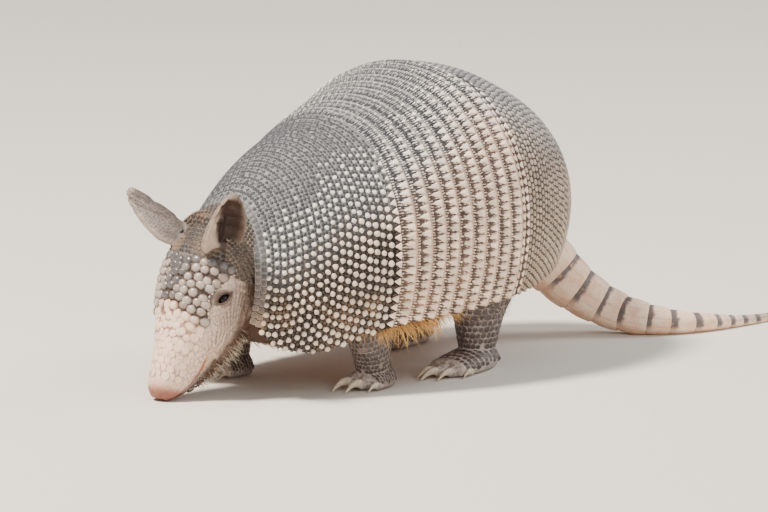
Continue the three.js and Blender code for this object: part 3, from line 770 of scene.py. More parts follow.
# Horn of one plate: its middle, its rim and the thin pale edge all depend on where the plate sits.
def hornPaint(name, low, lowRim, high, highRim, rimFrom=0.62, brightness=0.0, turnAt=(0.32, 0.68)):
    p = Paint(name, 0.5, 0.45)
    pale, tone, rim = p.value("pale"), p.value("tone"), p.value("rim")
    patch = p.noise(9, 2)
    lean = p.swayed(pale, tone, 0.25)
    flank = p.span(lean, *turnAt)
    rough = p.noise(1.1, 3)
    edge = p.span(p.swayed(rim, rough, 0.3), rimFrom, rimFrom + 0.26)
    if brightness:  # the scutes shine palest where flank and back meet
        meet = p.span(lean, 0.9, 0.45)
        low = p.mix(p.times(meet, brightness), low, hornColour["beadBright"])
    colour = p.mix(edge, p.mix(flank, high, low), p.mix(flank, highRim, lowRim))
    shade = p.math("ADD", 0.8, p.times(tone, 0.32))
    colour = p.shaded(colour, shade, p.span(patch, 0.3, 0.7, 0.86, 1.08), p.span(rough, 0.2, 0.8, 0.88, 1.1))
    dust = p.times(p.span(p.value("crown"), 0.3, 0.0), p.span(p.noise(14, 3), 0.42, 0.7))
    p.set("Base Color", p.mix(p.times(dust, 0.35), colour, hornColour["dust"]))
    p.bump(rough, 0.12, 0.6)
    return p.material


# The sheet under the plates: it shows as the lines between them.
def groutPaint(name, top, flank, margin=None):
    p = Paint(name, 0.7, 0.3)
    fine = p.noise(0.8, 3)
    pale = p.value("pale")
    colour = p.mix(p.span(pale, 0.5, 0.9), top, flank)
    if margin:
        paleRear = p.mix(p.span(pale, 0.35, 0.85), rgb(172, 168, 160), margin)
        starts, ends = p.mix(pale, (0.8,) * 3, (0.42,) * 3), p.mix(pale, (0.95,) * 3, (0.7,) * 3)
        colour = p.mix(p.span(p.swayed(p.value("rear"), fine, 0.2), starts, ends), colour, paleRear)
    colour = p.mix(p.span(fine, 0.25, 0.8), p.mix(0.35, colour, hornColour["ground"]), colour)
    p.set("Base Color", colour)
    p.bump(p.noise(0.5, 2), 0.15, 0.7)
    return p.material


beadTurn, cellTurn = (0.06, 0.3), (0.5, 0.85)
# The greys these paints give the top of the shell are tinted blue: painted sky reflection over the darker
# horn of the back.
paint = {
    "grout": groutPaint("grout", hornColour["net"], hornColour["ground"]),
    "bandSheet": groutPaint("band_sheet", rgb(104, 104, 109), rgb(138, 120, 112), rgb(226, 188, 162)),
    "hipGrout": groutPaint("hip_grout", rgb(98, 96, 98), rgb(92, 76, 64)),
    # The bead's darker brown rim is partly its own brown tint and partly painted shade round the edge of its
    # dome.
    "bead": hornPaint("bead", hornColour["bead"], rgb(140, 116, 98), rgb(92, 94, 99), rgb(176, 175, 173),
                      0.74, 0.9, beadTurn),
    "cell": hornPaint("cell", rgb(68, 58, 53), rgb(42, 35, 32), hornColour["slate"], hornColour["net"],
                      0.82, 0, cellTurn),
    "rim": hornPaint("rim", rgb(104, 94, 92), rgb(176, 158, 142), rgb(88, 88, 92), hornColour["net"], 0.66),
    "wedge": hornPaint("wedge", rgb(254, 230, 208), rgb(222, 176, 148), rgb(196, 195, 192),
                       rgb(162, 160, 158), 0.84, 0.8, beadTurn),
    "sliver": hornPaint("sliver", rgb(84, 66, 60), rgb(112, 90, 80), rgb(62, 63, 68), rgb(92, 92, 94),
                        0.8, 0, cellTurn),
    "hip": hornPaint("hip", rgb(186, 168, 150), rgb(146, 126, 110), rgb(140, 140, 142), rgb(158, 156, 152),
                     0.8, 0.35, (0.1, 1.2)),
}


# Round plates of one kind: points of the outline, its corners and how sharp they are, for each.
def plateSet(name, rings, outlines, turn=0.0, step=0.0):
    return [plateShape("%s%d" % (name, k), roundOutline(*given, turn + k * step), plateRings[rings])
            for k, given in enumerate(outlines)]


shape = {
    "bead": plateSet("bead", "bead", ((9, 2, 0.1), (9, 3, 0.13), (10, 5, 0.07), (8, 4, 0.09)), 0, 0.3),
    "cell": plateSet("cell", "cell", ((6, 2, 0.03), (6, 2, 0.1)), 0.5),
    "box": plateShape("box", boxOutline(8), plateRings["flat"]),
    "oval": plateShape("oval", roundOutline(8, 2, 0.05, 0.5), plateRings["flat"]),
    "pebble": plateSet("pebble", "bead", ((12, 6, 0.05), (12, 5, 0.07), (12, 2, 0.09)), 0, 0.4),
    "flake": plateSet("flake", "flat", ((6, 2, 0.12), (5, 2, 0.05), (7, 2, 0.09)), 0, 0.3),
    "wedge": plateShape("wedge", wedgeOutline(), plateRings["flat"], (0, 0.12)),
    "sliver": plateShape("sliver", wedgeOutline(0.05, 1.1), plateRings["cell"], (0, 0.12)),
}


# Plates of several shapes over one set of seeds, each seed taking one of the shapes.
def mixedPlates(name, seeds, shapes, finish, seed, **settings):
    pick = draw.integers(0, len(shapes), len(seeds["at"]))
    return [plates("%s%d" % (name, k), pickSeeds(seeds, pick == k), s, finish, seed=seed + k, **settings)
            for k, s in enumerate(shapes)]


# Pale wedges with their base on the rear margin, dark slivers between them, short streaks in front.
def bandPlates(name, piece, seed, spacing=4.6, reach=0.78, streaks=4, least=0.0):
    made = []
    dt = piece["to"] - piece["from"]

    def add(part, pattern, finish, salt, unevenness, *given):
        seeds = shellSeeds(piece, *given)
        seeds = pickSeeds(seeds, seeds["values"]["pale"] >= least)
        made.append(plates(name + part, seeds, shape[pattern], paint[finish], unevenness, seed=seed + salt))

    t = piece["to"] - 0.5 * reach * dt
    side, place = archRow(t, spacing)[:2]
    pale = paleness(t, side) + draw.uniform(-0.1, 0.1, len(side))
    grown = smooth(0.05, 0.7, pale)
    length = mmPerT(t, side) * dt * reach * (0.32 + 0.68 * grown) * draw.uniform(0.86, 1.04, len(side))
    at = piece["to"] - 0.02 * dt - 0.5 * length / mmPerT(t, side)
    add("_wedges", "wedge", "wedge", 0, 0.03, at, side, place, spacing * (0.42 + 0.62 * grown), length,
        0.42 + 0.2 * grown, 0.0, draw.uniform(-0.1, 0.1, len(side)))
    for row in range(2):  # a dark dash between two wedges, and a shorter one beside it
        side, place = archRow(t, spacing / (1 + row), 0.0)[:2]
        width = 1.25 - 0.35 * row + 0.55 * (1 - smooth(0.1, 0.7, paleness(t, side)))
        length = mmPerT(t, side) * dt * (0.62 - 0.2 * row)
        at = piece["to"] - dt * (0.5 + 0.14 * row + draw.uniform(-0.05, 0.05, len(side)))
        add("_dashes%d" % row, "sliver", "sliver", 1, 0.25, at, side, place, width, length, 0.55, 0.05,
            math.pi + draw.uniform(-0.16, 0.16, len(side)))
    for row in range(streaks):
        t = piece["from"] + dt * (0.14 + 0.19 * row)
        side, place = archRow(t, spacing / 3, 0.33 * row)[:2]
        at = t + dt * draw.uniform(-0.06, 0.06, len(side))
        add("_streaks%d" % row, "sliver", "sliver" if row % 2 else "wedge", 2 + row, 0.25, at, side, place,
            spacing / 3.6, mmPerT(at, side) * dt * 0.36, 0.35, 0.0, math.pi * (row % 2))
    return made


perT = {"neck": 190, "bands": 345, "hip": 380}  # millimetres along the shell for one unit of t
slit = 0.35 / perT["bands"]


def shellPart(name, piece, sheetRows, sheetPaint, scutes, node):
    finishPiece(shellSheet(name, piece, sheetRows, paint[sheetPaint]), (node,))
    platePiece(name + "_scutes", scutes, (spanAcross / mapShare, piece["long"] / mapShare))


shoulder = {
    "from": 0.0, "to": shell["bandsFrom"] - slit, "long": 82.0, "base": -0.75, "rimRow": 3.8, "rimPlate": 3.7,
    "cell": 2.42, "row": 2.08, "beadWide": 3.72, "beadHigh": 1.2, "dotWide": 2.9, "lastBand": 0.015,
}
shoulder["lift"] = lambda t: shoulder["base"] + shell["rise"] * smooth(0.9, 1.0, t / shoulder["to"])


def shoulderPlates():
    made = []
    rimTo = 2 * shoulder["rimRow"] / perT["neck"]
    for row in range(2):
        t = (row + 0.5) * rimTo / 2
        side, place = archRow(t, shoulder["rimPlate"], 0.5 * row)[:2]
        length = mmPerT(t, side) * rimTo / 2
        seeds = shellSeeds(shoulder, t, side, place, shoulder["rimPlate"] * 0.94, length * 0.94, 0.5, 0.05)
        made.append(plates("rim%d" % row, seeds, shape["box"], paint["rim"], seed=10 + row, unevenness=0.04))
    rows = backRows(rimTo, shoulder["to"] - 0.003, shoulder["row"])
    found = []
    for r, at in enumerate(rows):
        side, place, column = archRow(at, shoulder["cell"], 0.5 if r % 2 else 0.0)
        found.append((at + 0 * side, side, place, column, r + 0 * column))
    t, side, place, column, row = (np.concatenate(v) for v in zip(*found))
    dt = np.gradient(rows)[row]
    local = mmPerT(t, side) * dt
    main = (row % 2 == 0) & (column % 2 == (row // 2) % 2)
    pale = paleness(t, side)
    shake = draw.normal(0, 1, (2, len(t)))
    t = t + 0.13 * dt * shake[0] * np.where(main, 1, 0.7)
    bead = smooth(0.35, 0.85, pale + 0.08 * shake[1])
    dot = smooth(0.0, 0.3, pale + 0.05 * shake[1])
    wide = shoulder["cell"] + (shoulder["dotWide"] - shoulder["cell"]) * dot
    grown = np.interp(t, [0.03, 0.09, 0.17, 0.3], [0.75, 0.5, 0.6, 1.05])
    wide = wide + (shoulder["beadWide"] - shoulder["dotWide"]) * bead * grown
    length = wide * np.sqrt(local / shoulder["row"])
    high = 0.3 + 0.3 * dot + (shoulder["beadHigh"] - 0.6) * bead
    turned = draw.uniform(0, 2 * math.pi, len(t)) * (pale > 0.1)
    beads = shellSeeds(shoulder, t, side, place, wide, length, high, 0.15 * bead, turned)
    cells = shellSeeds(shoulder, t, side, place, shoulder["cell"] * 1.03, local * 1.1, 0.35 + 0.25 * pale)
    inFront = (t < shoulder["to"] - shoulder["lastBand"]) | (pale < 0.3)
    beads, cells = pickSeeds(beads, main & inFront), pickSeeds(cells, ~main & inFront)
    made += mixedPlates("beads", beads, shape["bead"], paint["bead"], 20, unevenness=0.1, lean=0.08)
    made += mixedPlates("cells", cells, shape["cell"], paint["cell"], 30, unevenness=0.06, lean=0.08)
    last = {**shoulder, "from": shoulder["to"] - shoulder["lastBand"]}
    made += bandPlates("last", last, 40, reach=0.95, streaks=0, least=0.3)
    return made


shellPart("shoulder_shield", shoulder, 44, "grout", shoulderPlates(), "shell_shoulder")

bandLength = (shell["bandsTo"] - shell["bandsFrom"]) / shell["bands"]
for i in range(shell["bands"]):
    start = shell["bandsFrom"] + i * bandLength
    band = {"from": start, "to": start + bandLength - slit, "long": 8.0}
    rising = lambda t, a=band["from"], b=band["to"]: np.clip((t - a) / (b - a), 0, 1)
    band["lift"] = lambda t, rising=rising: -0.8 + (shell["rise"] + 0.55) * rising(t)
    scutes = bandPlates("band", band, 50 + 6 * i)
    shellPart("shell_band_%d" % (i + 1), band, 6, "bandSheet", scutes, "band_%d" % (i + 1))

hip = {
    "from": shell["bandsTo"], "to": 1.0, "long": 135.0, "base": -0.6, "row": 3.55, "scute": 3.75,
    "bandRows": 2, "bandRow": 6.0, "plainTo": 0.22,
}
hip["lift"] = lambda t: hip["base"] + 0 * t


def hipPlates():
    made = []
    start = hip["from"]
    for i in range(hip["bandRows"]):
        end = start + hip["bandRow"] / perT["hip"]
        band = {**hip, "from": start, "to": end}
        made += bandPlates("hip_band%d" % i, band, 120 + 6 * i, reach=0.9, streaks=0, least=hip["plainTo"])
        start = end
    rows = np.concatenate([backRows(hip["from"], start, hip["row"]), backRows(start, hip["to"], hip["row"])])
    dt = np.gradient(rows)
    scutes = []
    for r, at in enumerate(rows):
        side, place = archRow(at, hip["scute"], 0.5 if r % 2 else 0.0)[:2]
        local = mmPerT(at, side) * dt[r]
        pale = paleness(at, side)
        t = at + dt[r] * draw.normal(0, 0.04, len(side))
        width, length = hip["scute"] * (0.8 + 0.06 * pale), local * (0.86 + 0.06 * pale)
        turned = draw.normal(0, 0.06, len(side))
        seeds = shellSeeds(hip, t, side, place, width, length, 0.5 + 0.2 * pale, 0.0, turned)
        if at < start:  # only over the back, where the wedges give out
            seeds = pickSeeds(seeds, seeds["values"]["pale"] < hip["plainTo"])
        scutes.append(seeds)
    return made + [plates("hip_scutes", mergeSeeds(scutes), shape["oval"], paint["hip"], 0.08, 0.06, 150)]


shellPart("hip_shield", hip, 60, "hipGrout", hipPlates(), "shell_hip")
print("shell ready")

tint = {  # the colours of bare skin, as seen
    "cheek": (212, 190, 174), "snout": (242, 212, 192), "nose": (212, 164, 142), "noseTip": (128, 72, 58),
    "lip": (176, 158, 152), "jaw": (138, 118, 106), "throat": (78, 58, 48), "brow": (86, 79, 76),
    # leg, for the front legs, is darker than hindLeg partly by painted shade under the shell
    "neck": (108, 90, 79), "leg": (112, 97, 90), "foot": (184, 166, 158), "hindLeg": (156, 148, 146),
    "toe": (206, 190, 178), "earBack": (104, 95, 90), "earIn": (46, 23, 14), "earDeep": (34, 18, 14),
    "earRim": (192, 172, 156), "belly": (168, 112, 62), "flank": (112, 84, 68), "tail": (160, 128, 112),
    "mouth": (196, 112, 50), "nostril": (70, 38, 34), "lids": (88, 68, 58), "lidEdge": (26, 18, 16),
    # fold is also painted shade in the grooves of the cheek wrinkles
    "fold": (104, 80, 68),
}
tint = {name: rgb(*seen) for name, seen in tint.items()}


def blend(mask, a, b):
    mask = np.asarray(mask, float)[..., None]
    return np.asarray(a) * (1 - mask) + np.asarray(b) * mask


# A colour with tints laid over it in turn, each by its mask.
def tinted(colour, *layers):
    for mask, name in layers:
        colour = blend(mask, colour, tint[name])
    return colour


# A closed form from rings of points, with a colour and a leg-scale strength at each point.
def ringForm(name, rings, colour, scaly=0.0):
    points, faces = loftFaces(rings)
    colour = np.broadcast_to(colour, rings.shape)
    scaly = np.broadcast_to(scaly, rings.shape[:2])
    ends = np.stack([colour[0].mean(0), colour[-1].mean(0)])
    return {"name": name, "points": points, "faces": faces,
            "tint": np.concatenate([colour.reshape(-1, 3), ends]),
            "scaly": np.concatenate([scaly.ravel(), [0, 0]])}


def slabForm(name, outer, inner, outerTint, innerTint):
    points, faces = slabFaces(outer, inner)
    return {"name": name, "points": points, "faces": faces, "tint": slabValues(outerTint, innerTint),
            "scaly": np.zeros(len(points))}


# Points of the tail's middle line. Its tangents allow for how far apart the stations are.
def tailLine(u):
    p = np.concatenate([2 * tailAt[:1] - tailAt[1:2], tailAt, 2 * tailAt[-1:] - tailAt[-2:-1]])
    gap = np.linalg.norm(np.diff(p, axis=0), axis=1) ** 0.5
    at = np.clip(u, 0, 1) * (len(tailAt) - 1)
    i = np.minimum(at.astype(int), len(tailAt) - 2)
    w = (at - i)[:, None]
    a, b, c, d = p[i], p[i + 1], p[i + 2], p[i + 3]
    g0, g1, g2 = gap[i][:, None], gap[i + 1][:, None], gap[i + 2][:, None]
    t1 = ((b - a) / g0 - (c - a) / (g0 + g1) + (c - b) / g1) * g1
    t2 = ((c - b) / g1 - (d - b) / (g1 + g2) + (d - c) / g2) * g1
    return b + t1 * w + (-3 * b + 3 * c - 2 * t1 - t2) * w**2 + (2 * b - 2 * c + t1 + t2) * w**3


def trunkForm():
    rows, above, below = 46, 49, 24  # rings, and points of a ring over the back and under the belly
    t = np.linspace(trunk["from"], trunk["to"], rows)
    grid = gridOf(t, np.linspace(-trunk["reach"], trunk["reach"], above))
    depth = shell["thick"] + shell["gap"] + 2.2 * smooth(0.95, 0.7, np.abs(grid[1]))
    arch = shellPoint(grid[0], grid[1], -depth)
    u = (np.arange(1, below) / below)[None, :, None]
    left, right = arch[:, -1:], arch[:, :1]
    belly = left + (right - left) * u
    drop = trunk["drop"] * np.sin(math.pi * np.clip(t, 0.1, 0.9))
    belly[..., 2] -= drop[:, None] * np.sin(math.pi * u[..., 0]) ** trunk["square"]
    rings = bent(np.concatenate([arch, belly], 1))
    root = tailLine(np.array([0.045]))[0]
    root[1] = rings[-1, :, 1].mean()
    closed = [root + (rings[-1] - root) * k + [0, b, 0] for k, b in trunk["rump"]]
    rings = np.concatenate([rings, closed])
    t = np.concatenate([t, np.ones(len(closed))])
    under = np.concatenate([np.zeros(above), np.ones(below - 1)])
    neckward, tailward = smooth(0.3, 0.12, t)[:, None], (t > 0.97)[:, None]
    colour = tinted(tint["flank"], (under[None], "belly"), (neckward, "throat"), (tailward, "tail"))
    return ringForm("trunk", rings, colour)


# A limb or neck: rings round a smooth line through its stations.
def limbRings(stations, rows, sides):
    at = np.array([s[0] for s in stations], float)
    sizes = np.array([s[1:] for s in stations], float)
    u = np.linspace(0, len(at) - 1, rows)
    centre, size = cubic(range(len(at)), at, u), cubic(range(len(at)), sizes, u)
    way = unit(np.gradient(centre, axis=0))
    across = unit(np.array([1.0, 0, 0]) - way * way[:, :1])
    other = np.cross(way, across)
    angle = circle(sides)
    return bent(centre[:, None] + across[:, None] * (size[:, :1] * np.cos(angle))[..., None]
                + other[:, None] * (size[:, 1:] * np.sin(angle))[..., None]), u / (len(at) - 1), angle


def headForm():
    s = np.linspace(0, head["length"], 84)
    angle = circle(72)
    grid = gridOf(s, angle)
    rings = headPoint(grid[0], grid[1])
    cap = headPoint(head["length"], angle)
    middle = cap.mean(0)
    forward = unit(middle - headPoint(head["length"] - 4, angle).mean(0))
    extra = [middle + (cap - middle) * k + forward * f for k, f in ((0.94, 0.7), (0.8, 1.2), (0.5, 1.5))]
    rings = np.concatenate([rings, extra])
    s = np.concatenate([s, np.full(3, head["length"] + 1)])
    turned = np.abs((angle + math.pi) % (2 * math.pi) - math.pi)
    s2, a2 = gridOf(s, turned / degree)
    underEye = smooth(84, 96, a2) * smooth(126, 112, a2) * smooth(26, 34, s2) * smooth(52, 42, s2)
    colour = tinted(
        tint["cheek"],
        (smooth(44, 64, s2 + 0.1 * (90 - a2)), "snout"),
        (0.25 * underEye, "fold"),
        (smooth(80, 70, a2) * smooth(66, 52, s2), "brow"),
        (0.7 * smooth(14, 3, s2), "neck"),
        (smooth(118, 136, a2) * smooth(90, 70, s2), "jaw"),
        (smooth(128, 150, a2) * smooth(62, 40, s2), "throat"),
        (smooth(110, 125, a2) * smooth(70, 78, s2), "lip"),
        (smooth(83, 90, s2), "nose"),
        (0.85 * smooth(87.5, 92.5, s2 + 0.02 * a2), "noseTip"))
    return ringForm("head", rings, colour)


def earFrame(side):
    way = np.array(earWays[side]) * [side, 1, 1]
    way = way / np.linalg.norm(way)
    facing = np.array([side * 0.85, 0, 0.5])
    facing = unit(facing - way * (facing @ way))
    half = along(headStations, "s", "half", ear["s"]) - ear["sunk"]
    up = along(headStations, "s", "up", ear["s"]) - ear["sunk"]
    root = np.array([side * half * math.sin(ear["angle"]), up * math.cos(ear["angle"]), ear["s"]])
    return root, way, facing, np.cross(way, facing)


# A point of an ear: u runs up it, v across it from -1 to 1, depth toward its hollow side.
def earPoint(side, u, v):
    root, way, facing, across = earFrame(side)
    flare = ear["rootWidth"] + (1 - ear["rootWidth"]) * np.sin(math.pi * np.minimum(2 * u, 0.5))
    past = np.maximum(u - ear["taperFrom"], 0) / (1.01 - ear["taperFrom"])
    width = ear["half"] * flare * np.sqrt(np.maximum(1 - past**1.7, 0))
    curl = ear["cup"] * width * (v * v - 0.4) * (1 - ear["flatten"] * u)
    p = root + way * (ear["length"] * u)[..., None] + across * (width * v * 0.9)[..., None]
    p = p + facing * curl[..., None]
    return headPlace(p[..., 0], p[..., 1], p[..., 2])


def earForm(side):
    u, v = gridOf(np.linspace(0, 1, 70), np.linspace(-1, 1, 45))
    thick = ear["thick"] / 2 * (1 - 0.2 * smooth(0.5, 1, u))
    rim = np.maximum(smooth(0.72, 0.95, np.abs(v)), smooth(0.86, 0.97, u))
    lobe = ear["lobe"] * np.exp(-(((v + 0.62) / 0.25) ** 2)) * smooth(0.75, 0.35, u)
    fill = ear["fill"] * smooth(0.42, 0.05, u) * (1 - v * v) + lobe
    fold = ear["fold"] * np.exp(-(((v - 0.25 + 0.5 * u) / 0.16) ** 2))
    fold = fold * smooth(0.12, 0.25, u) * smooth(0.62, 0.45, u)
    paleEdge = np.maximum(rim * smooth(0.9, -0.2, v), 0.9 * smooth(-0.1, -0.5, v) * smooth(0.8, 0.5, u))
    darkEdge = 0.7 * smooth(0.78, 0.95, v) + 0.6 * smooth(0.88, 0.98, u) * (v > -0.1)
    inside = tinted(tint["earIn"], (smooth(0.75, 0.3, u), "earDeep"), (smooth(0.25, 0.75, v) * 0.7, "earIn"),
                    (paleEdge, "earRim"), (darkEdge, "neck"))
    back = tinted(tint["earBack"], (rim * 0.5, "earRim"))
    middle = earPoint(side, u, v)
    normal = np.cross(np.gradient(middle, axis=0), np.gradient(middle, axis=1))
    hollow = headPlace(*(earFrame(side)[0] + earFrame(side)[2])) - headPlace(*earFrame(side)[0])
    normal = unit(normal) * np.sign(np.sum(normal * hollow, -1, keepdims=True))
    normal[-1] = normal[-2]
    hollowSide = middle + normal * (thick + fill + fold)[..., None]
    form = slabForm("ear", hollowSide, middle - normal * thick[..., None], inside, back)
    form["spotted"] = slabValues(0 * u, (1 - 0.6 * rim) * smooth(0.02, 0.15, u))
    form["share"] = slabValues(u)
    form["flat"] = slabValues(np.stack([u, v, 0 * u], -1)) * [ear["length"], ear["half"], 0]
    return form


soleAt = 0.35  # millimetres over the floor, so that the skin made from the forms ends on it


def footRings(foot, u, angle):
    ahead = -foot["back"] + (foot["back"] + foot["length"] - toe["length"]) * u
    swell = np.sin(math.pi * (0.12 + 0.6 * u))
    heel = np.sqrt(np.clip(1 - (1 - smooth(0, 0.18, u)) ** 2 * 0.35, 0, 1))
    half = foot["half"] * (0.6 + 0.4 * swell) * heel
    tall = foot["high"] * (1 - 0.45 * u) * (0.75 + 0.25 * smooth(0, 0.2, u))
    z = np.maximum(tall[:, None] * (0.42 + 0.58 * np.sin(angle)), soleAt)
    return footPlace(foot, half[:, None] * np.cos(angle), ahead[:, None] + 0 * angle, z)


# Rings of a toe or a claw from its middle line and radius, kept off the floor.
def toeRings(foot, across, ahead, up, radius, sides, floor, flat=1.0):
    angle = circle(sides)
    x = across[:, None] + radius[:, None] * flat * np.cos(angle)
    z = np.maximum(up[:, None] + radius[:, None] * np.sin(angle), floor)
    return footPlace(foot, x, ahead[:, None] + 0 * angle, z)


def footForms(name, foot, outward):
    isFront = name.startswith("front")
    low, high = (tint["foot"], tint["leg"]) if isFront else (tint["toe"], tint["hindLeg"])
    u = np.linspace(0, 1, 14)
    rings = footRings(foot, u, circle(28))
    forms = [ringForm("foot", rings, blend(smooth(0.1, 0.9, u)[:, None], blend(0.45, high, low), low), 0.25)]
    for across, past, _, thick in claws["front" if isFront else "hind"]:
        u = np.linspace(0, 1, 9)
        root = foot["length"] - toe["length"] - toe["sunk"]
        reach = toe["length"] + toe["sunk"] + past
        radius = thick * (1.75 + (1.15 - 1.75) * u) * np.where(u > 0.95, 0.7, 1)
        place = across * foot["half"] * outward * (0.66 + 0.22 * u)
        height = thick * (1.9 + (1.4 - 1.9) * u)
        rings = toeRings(foot, place, root + reach * u, height, radius, 18, soleAt)
        forms.append(ringForm("toe", rings, blend(0.3, tint["toe"], low), 0.6))
    return forms


tailAt = np.array([s[0] for s in tailStations], float)
tailSize = np.array([s[1] for s in tailStations], float)
tailU = np.linspace(0, 1, 1601)
tailDistance = arcLengths(tailLine(tailU))


# Rings of the tail, at distances from its root; radius may be told for each point.
def tailRings(distance, angle, grow=0.0, share=1.0):
    u = np.interp(distance, tailDistance, tailU)
    centre = tailLine(u)
    way = unit(tailLine(np.minimum(u + 0.002, 1)) - tailLine(np.maximum(u - 0.002, 0)))
    across = unit(np.stack([-way[:, 1], way[:, 0], 0 * u], -1))
    up = np.cross(across, way)
    radius = cubic(np.arange(len(tailAt)), tailSize, u * (len(tailAt) - 1))[:, None] * share + grow
    sideways, upward = (radius * np.cos(angle))[..., None], (radius * np.sin(angle))[..., None]
    return centre[:, None] + across[:, None] * sideways + up[:, None] * upward


def fleshForms():
    forms = [trunkForm(), headForm(), earForm(1), earForm(-1)]
    rings, u, angle = limbRings(neckStations, 24, 48)
    under = smooth(0.0, 0.9, -np.sin(angle))[None]
    forms.append(ringForm("neck", rings, tinted(tint["neck"], (under, "throat"))))
    for name, stations in legs.items():
        rings, u, angle = limbRings(stations, 20, 28)
        # the front legs' darker tint is partly painted shade under the shell
        top, foot, share = ("leg", "foot", 0.5) if name.startswith("front") else ("hindLeg", "toe", 0.4)
        colour = blend(smooth(0.35, 1, u)[:, None], tint[top], blend(share, tint[top], tint[foot]))
        forms.append(ringForm("leg", rings, colour))
        forms += footForms(name, feet[name], 1 if name.endswith("left") else -1)
    rings = tailRings(np.linspace(0, tailDistance[-1], 120), circle(30), -0.35, 0.95)
    rings[..., 2] = np.maximum(rings[..., 2], 0.3)
    forms.append(ringForm("tail", rings, tint["tail"]))
    return forms


skinSize = {"voxel": 0.8, "rounds": 4, "most": 190000, "kept": 0.1, "sleeved": 0.5}
forms = fleshForms()
formPoints, formFaces = joinForms([(f["points"], f["faces"]) for f in forms])
rough = newMesh("skin", formPoints, formFaces)
print("forms ready", len(formPoints))
remesh = rough.modifiers.new("remesh", "REMESH")
remesh.mode = "VOXEL"
remesh.voxel_size = skinSize["voxel"] * mm
remesh.use_smooth_shade = True
plain = applied(rough)
print("skin remeshed", len(plain.vertices), len(plain.polygons))


# Moves every vertex toward the mean of its neighbours, by a share for each.
def relaxed(mesh, points, share, rounds):
    edges = fetch(mesh.edges, "vertices", 2, np.int32)
    count = np.bincount(edges.ravel(), minlength=len(points))[:, None]
    gathered = lambda to, of, k: np.bincount(edges[:, to], points[edges[:, of], k], len(points))
    for _ in range(rounds):
        total = np.stack([gathered(0, 1, k) + gathered(1, 0, k) for k in range(3)], -1)
        points = points + share * (total / np.maximum(count, 1) - points)
    return points


def movePoints(mesh, points):
    mesh.vertices.foreach_set("co", points.astype(np.float32).ravel())
    mesh.update()


def normalsOf(mesh):
    return fetch(mesh.vertices, "normal", 3).astype(float)


# Points near a form, drawn onto it. Returns them with the form's own values at the places found.
def snapped(points, form, reach, fromShare):
    quads = form["faces"][0]
    surface = BVHTree.FromPolygons(form["points"].tolist(), quads.tolist())
    middle = form["points"].mean(0)
    wide = np.linalg.norm(form["points"] - middle, axis=1).max() + reach
    near = np.flatnonzero(np.linalg.norm(points - middle, axis=1) < wide)
    chosen, places, faces = [], [], []
    for i in near:
        place, _, face, _ = surface.find_nearest(points[i], reach)
        if place is not None:
            chosen.append(i)
            places.append(place)
            faces.append(face)
    places, faces = np.array(places), quads[faces]
    weight = 1 / (np.linalg.norm(form["points"][faces] - places[:, None], axis=2) + 0.02)
    weight = weight / weight.sum(1, keepdims=True)
    values = {k: (form[k][faces] * (weight if form[k].ndim == 1 else weight[..., None])).sum(1)
              for k in ("share", "flat", "tint", "spotted")}
    pull = smooth(*fromShare, values["share"])
    points = points.copy()
    points[chosen] = points[chosen] * (1 - pull[:, None]) + places * pull[:, None]
    return points, np.array(chosen), values


def bodyOf(mesh):  # its points in millimetres, in the straight frame
    return pointsOf(mesh) / mm - shift


body = relaxed(plain, bodyOf(plain), 0.5, skinSize["rounds"])
earForms = [f for f in forms if f["name"] == "ear"]
for form in earForms:
    body = snapped(body, form, 2.0, (0.1, 0.3))[0]
movePoints(plain, placed(body))


def divide(mesh, chosen, cuts=1):
    work = bmesh.new()
    work.from_mesh(mesh)
    work.verts.ensure_lookup_table()
    near = set(np.flatnonzero(chosen).tolist())
    edges = [e for e in work.edges if e.verts[0].index in near and e.verts[1].index in near]
    bmesh.ops.subdivide_edges(work, edges=edges, cuts=cuts, use_grid_fill=True, smooth=0.0)
    work.to_mesh(mesh)
    work.free()


eyes = {side: headPoint(eye["s"], side * eye["angle"], -eye["sunk"]) for side in (1, -1)}
body = bodyOf(plain)
nearEye = np.min([np.linalg.norm(body - eyes[k], axis=1) for k in (1, -1)], axis=0) < 8.5
divide(plain, nearEye, 2)
noseEnd = headPlace(0.0, 0.0, 91.0)
divide(plain, np.linalg.norm(bodyOf(plain) - noseEnd, axis=1) < 11, 1)
print("skin divided", len(plain.vertices))
body = relaxed(plain, bodyOf(plain), 0.4, 1)

lids = {
    "long": 3.4, "tall": 1.7, "tilt": 33 * degree, "turn": 44 * degree, "over": 0.7, "deep": 1.4,
    "reach": 8.5,
    "folds": ((1.12, 0.16, 0.4), (1.5, 0.18, -0.45), (1.95, 0.22, 0.4), (2.4, 0.2, -0.4), (2.85, 0.22, 0.3)),
}  # each fold has a place, a width and a height


